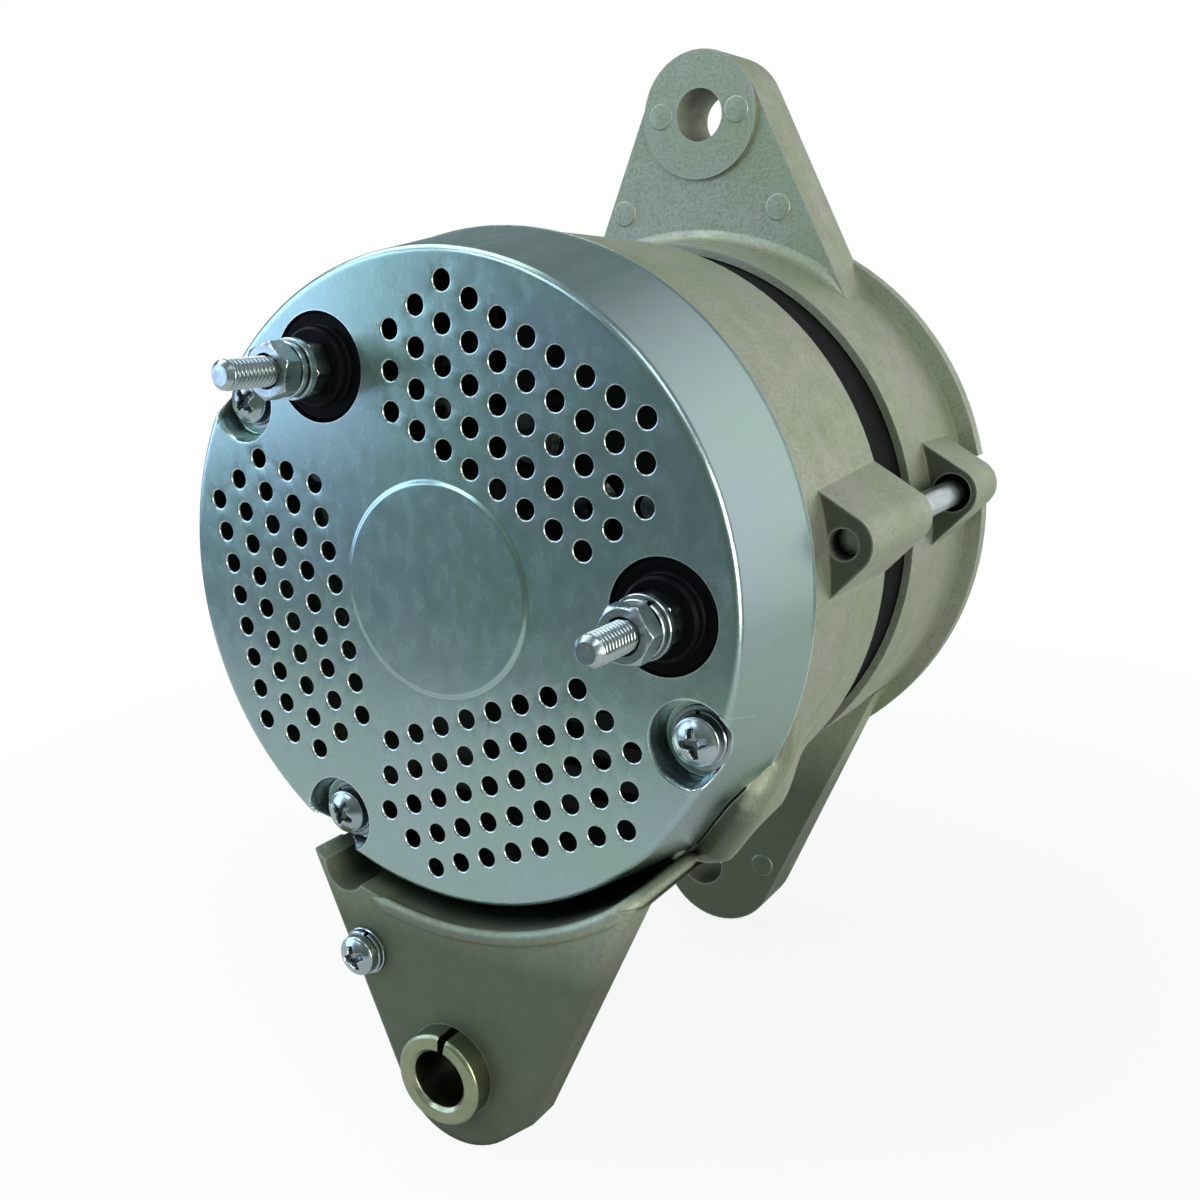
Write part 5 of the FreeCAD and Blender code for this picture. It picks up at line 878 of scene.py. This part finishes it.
def lipShape(look):
    # A round bead carried along the foot's upper edge: round the shaft's arc, then straight along Y up to the
    # drum. Across the path it is an ellipse, radius width along the shaft's radius and height square to it.
    arcSteps, bendSteps, runSteps = look["steps"]
    arc = np.radians(np.linspace(look["start"], look["turnAt"], arcSteps))
    bend = np.linspace(0.0, math.pi / 2, bendSteps)[1:]
    swing = math.radians(look["end"] - look["turnAt"])
    bendAngle = arc[-1] + swing * np.sin(bend)
    bendY = look["rearY"] + look["circle"] * swing * (1.0 - np.cos(bend))
    runY = np.linspace(bendY[-1], look["frontY"], runSteps)[1:]
    angle = np.concatenate([arc, bendAngle, np.full(len(runY), bendAngle[-1])])
    along = np.concatenate([np.full(len(arc), look["rearY"]), bendY, runY])
    path = np.stack([look["circle"] * np.cos(angle), along, look["circle"] * np.sin(angle)], axis=-1)
    ahead = np.gradient(path, axis=0)
    ahead /= np.linalg.norm(ahead, axis=1)[:, None]
    outward = np.stack([np.cos(angle), 0.0 * angle, np.sin(angle)], axis=-1)
    across = np.cross(ahead, outward)
    turn = np.linspace(0.0, 2.0 * math.pi, look["segments"], endpoint=False)
    order = np.arange(len(path))
    taper = smoothStep(np.minimum(order, order[::-1]) / look["taperSteps"])[:, None]
    points = (path[:, None, :] + outward[:, None, :] * (look["width"] * np.cos(turn) * taper)[:, :, None]
              + across[:, None, :] * (look["height"] * np.sin(turn) * taper)[:, :, None])
    return gridShape(points[..., 0], points[..., 1], points[..., 2])


def filletShape(look):
    # A hollow quarter curve between the drum and the ear's face goes round the shaft, and fades at its ends.
    # The curve is reach along Y and rise along the radius, less their share of the sine and the cosine.
    angle = np.radians(np.linspace(look["start"], look["end"], look["steps"]))
    share = np.linspace(0.0, 1.0, look["steps"])
    fade = look["fade"] / (look["end"] - look["start"])
    size = np.maximum(smoothStep(np.minimum(share, 1.0 - share) / fade), look["least"])
    turn = np.linspace(0.0, math.pi / 2, look["curveSteps"])
    reach, rise, faceSunk, drumSunk = look["reach"], look["rise"], look["faceSunk"], look["drumSunk"]
    alongDrum = np.concatenate([reach * (1.0 - np.sin(turn)), [-faceSunk, -faceSunk, reach]])
    upFace = np.concatenate([rise * (1.0 - np.cos(turn)), [rise, -drumSunk, -drumSunk]])
    radius = look["drumRadius"] + upFace[:, None] * size
    y = look["faceY"] - alongDrum[:, None] * size
    return bandShape(radius, y, angle)


def webShape(look):
    # The outline (radius, y) of the web at each angle: a rear face that climbs the cover's wall, a rounded
    # edge, and an outer face that stands on the drum by a smooth step of the angle and falls to it towards
    # the stator.
    angle = np.linspace(look["start"], look["end"], look["steps"])
    knots = np.array(look["knots"]).T
    rear, outer, swell = [np.interp(angle, knots[0], column) for column in knots[1:]]
    outer = outer + swell
    wallSlope = (coverLook["endRadius"] - coverLook["rimRadius"]) / (coverLook["endY"] - coverLook["faceY"])
    wall = coverLook["rimRadius"] + (rear - coverLook["faceY"]) * wallSlope + look["clear"]
    inner = look["innerRadius"] + 0.0 * angle
    shelf = np.maximum(rear, look["drumEndY"])
    shelfRadius = coverLook["endRadius"] + coverLook["endFlare"] + look["clear"]
    radius = [inner, inner, np.minimum(shelfRadius, outer - look["shelfInset"]),
              np.minimum(wall, outer - look["rearInset"])]
    y = [look["levels"][-1][0] + 0.0 * angle, shelf, shelf, rear]
    for inward, forward in look["edge"]:
        radius.append(outer - inward)
        y.append(rear + forward)
    for level, begin, share in look["levels"]:
        drum = np.interp(level, *look["drumRadii"])
        step = smoothStep((begin - angle) / look["spread"])
        radius.append(drum - look["sunk"] + step * share * (look["rise"] + look["sunk"]))
        y.append(level + 0.0 * angle)
    return bandShape(np.array(radius), np.array(y), np.radians(angle))


def addCasting(name, shapes, carrier):
    # A form of the casting that no node stands for: it takes the carrier's finish and body.
    addPiece(name, shapes, [carrier], standsFor=False, bevelAngle=60.0)


addCasting("EjectorMarks", [markShape(markLook, spot) for spot in markLook["spots"]], "front_bracket")
addCasting("FootLip", [lipShape(lipLook)], "rear_bracket")
addCasting("TopEarFillet", [filletShape(filletLook)], "front_bracket")
addCasting("FootWeb", [webShape(webLook)], "rear_bracket")
print("Castings dressed")


# Camera, lamps, backdrop

cameraLook = {
    "place": (157.7, -358.6, 61.7), "back": (0.4987, -0.8319, 0.2433), "lens": 40.09, "sensor": 36.0,
    "nearest": 0.01,
}
camera = placeObject("Camera", bpy.data.cameras.new("Camera"))
camera.data.lens = cameraLook["lens"]
camera.data.sensor_width = cameraLook["sensor"]
camera.data.clip_start = cameraLook["nearest"]
camera.location = Vector(cameraLook["place"]) * mm
camera.rotation_euler = Vector(cameraLook["back"]).to_track_quat("Z", "Y").to_euler()
bpy.context.scene.camera = camera

lampLooks = {
    "LeftSoftbox": {
        "place": (-1.27, -0.80, 0.34), "size": (1.1, 1.0), "power": 10.5, "colour": (0.54, 0.72, 1.0),
    },
    "FrontSoftbox": {
        "place": (-0.45, -1.00, 0.85), "size": (0.5, 0.4), "power": 2.7, "colour": (0.66, 0.85, 1.0),
    },
    "TopSoftbox": {
        "place": (-0.70, -0.05, 1.10), "size": (1.1, 1.1), "power": 9.0, "colour": (0.93, 1.0, 1.0),
    },
    "RimSoftbox": {
        "place": (0.56, -0.64, 0.88), "size": (0.45, 0.45), "power": 1.8, "colour": (0.9, 0.97, 1.0),
    },
    "RightSoftbox": {
        "place": (1.25, -0.50, 0.18), "size": (0.7, 0.9), "power": 11.0, "colour": (1.0, 1.0, 0.92),
    },
}
aim = Vector((0.0, -0.1, 0.0))
for lampName, look in lampLooks.items():
    lamp = bpy.data.lights.new(lampName, "AREA")
    lamp.shape = "RECTANGLE"
    lamp.size, lamp.size_y = look["size"]
    lamp.energy = look["power"]
    lamp.color = look["colour"]
    holder = placeObject(lampName, lamp)
    holder.location = look["place"]
    holder.rotation_euler = (holder.location - aim).to_track_quat("Z", "Y").to_euler()

worldLook = {
    "backdrop": (1.0, 1.0, 1.0), "backdropWay": (0.46, 0.86, 0.20), "backdropEdge": (0.70, 0.95),
    "room": (0.13, 0.18, 0.15), "leftRoom": (0.17, 0.22, 0.26), "leftEdge": (-0.40, -0.70),
    "ceiling": (0.26, 0.30, 0.31), "ceilingEdge": (0.1, 0.8), "fill": (0.36, 0.37, 0.36),
}


def rayKinds(tree):
    # 1 for what the camera sees itself, and 1 for what it sees in a reflection or through glass.
    path = addNode(tree, "LightPath").outputs
    mirrored = calculate(tree, "MAXIMUM", path["Is Glossy Ray"], path["Is Transmission Ray"])
    return path["Is Camera Ray"], mirrored


def makeWorld(look):
    # Straight on, the backdrop is white. Reflections see it behind the object, and elsewhere the dim room and
    # its ceiling.
    world = bpy.data.worlds.new("Studio")
    world.use_nodes = True
    tree = world.node_tree
    tree.nodes.clear()
    direct, mirrored = rayKinds(tree)
    way = addNode(tree, "TexCoord").outputs["Generated"]
    direction = addNode(tree, "SeparateXYZ", way).outputs
    facing = addNode(tree, "VectorMath", way, look["backdropWay"], operation="DOT_PRODUCT")
    behind = spread(tree, facing.outputs["Value"], *look["backdropEdge"], 0.0, 1.0)
    leftward = spread(tree, direction["X"], *look["leftEdge"], 0.0, 1.0)
    rise = spread(tree, direction["Z"], *look["ceilingEdge"], 0.0, 1.0)
    around = mixColours(tree, leftward, look["room"], look["leftRoom"])
    around = mixColours(tree, rise, around, look["ceiling"])
    around = mixColours(tree, behind, around, look["backdrop"])
    unseen = mixColours(tree, mirrored, look["fill"], around)
    surface = addNode(tree, "Background", mixColours(tree, direct, unseen, look["backdrop"]))
    addNode(tree, "OutputWorld", surface.outputs["Background"])
    bpy.context.scene.world = world


floorLook = {
    "size": 0.8, "divisions": 9, "colour": (0.58, 0.59, 0.56), "near": 0.87, "nearRadius": 0.10,
    "farRadius": 0.35, "mirrored": 0.15,
}


def makeFloor(look):
    # A flat square under the object's lowest point. Near the object it shows its own shading, and further
    # off it goes over to the white of the backdrop.
    material, tree = startMaterial("Studio floor")
    place = addNode(tree, "TexCoord").outputs["Object"]
    away = addNode(tree, "VectorMath", place, operation="LENGTH").outputs["Value"]
    share = spread(tree, away, look["nearRadius"], look["farRadius"], look["near"], 1.0)
    direct, mirrored = rayKinds(tree)
    seen = calculate(tree, "MULTIPLY_ADD", mirrored, look["mirrored"], direct)
    amount = calculate(tree, "MULTIPLY", share, seen)
    plain = addNode(tree, "BsdfDiffuse", (*look["colour"], 1.0)).outputs["BSDF"]
    white = addNode(tree, "Emission", Strength=1.0).outputs["Emission"]
    mix = addNode(tree, "MixShader", amount, plain, white)
    addNode(tree, "OutputMaterial", mix.outputs["Shader"])
    across = np.linspace(-look["size"] / 2, look["size"] / 2, look["divisions"])
    x, y = np.meshgrid(across, across)
    points, faces = gridShape(x, y, np.full_like(x, cadBox[0][2]), wrapColumns=False)
    mesh = bpy.data.meshes.new("Floor")
    mesh.from_pydata(points, [], faces)
    mesh.materials.append(material)
    floor = placeObject("Floor", mesh)


makeWorld(worldLook)
makeFloor(floorLook)
bpy.context.scene.view_settings.view_transform = "Standard"
print("Stage set")
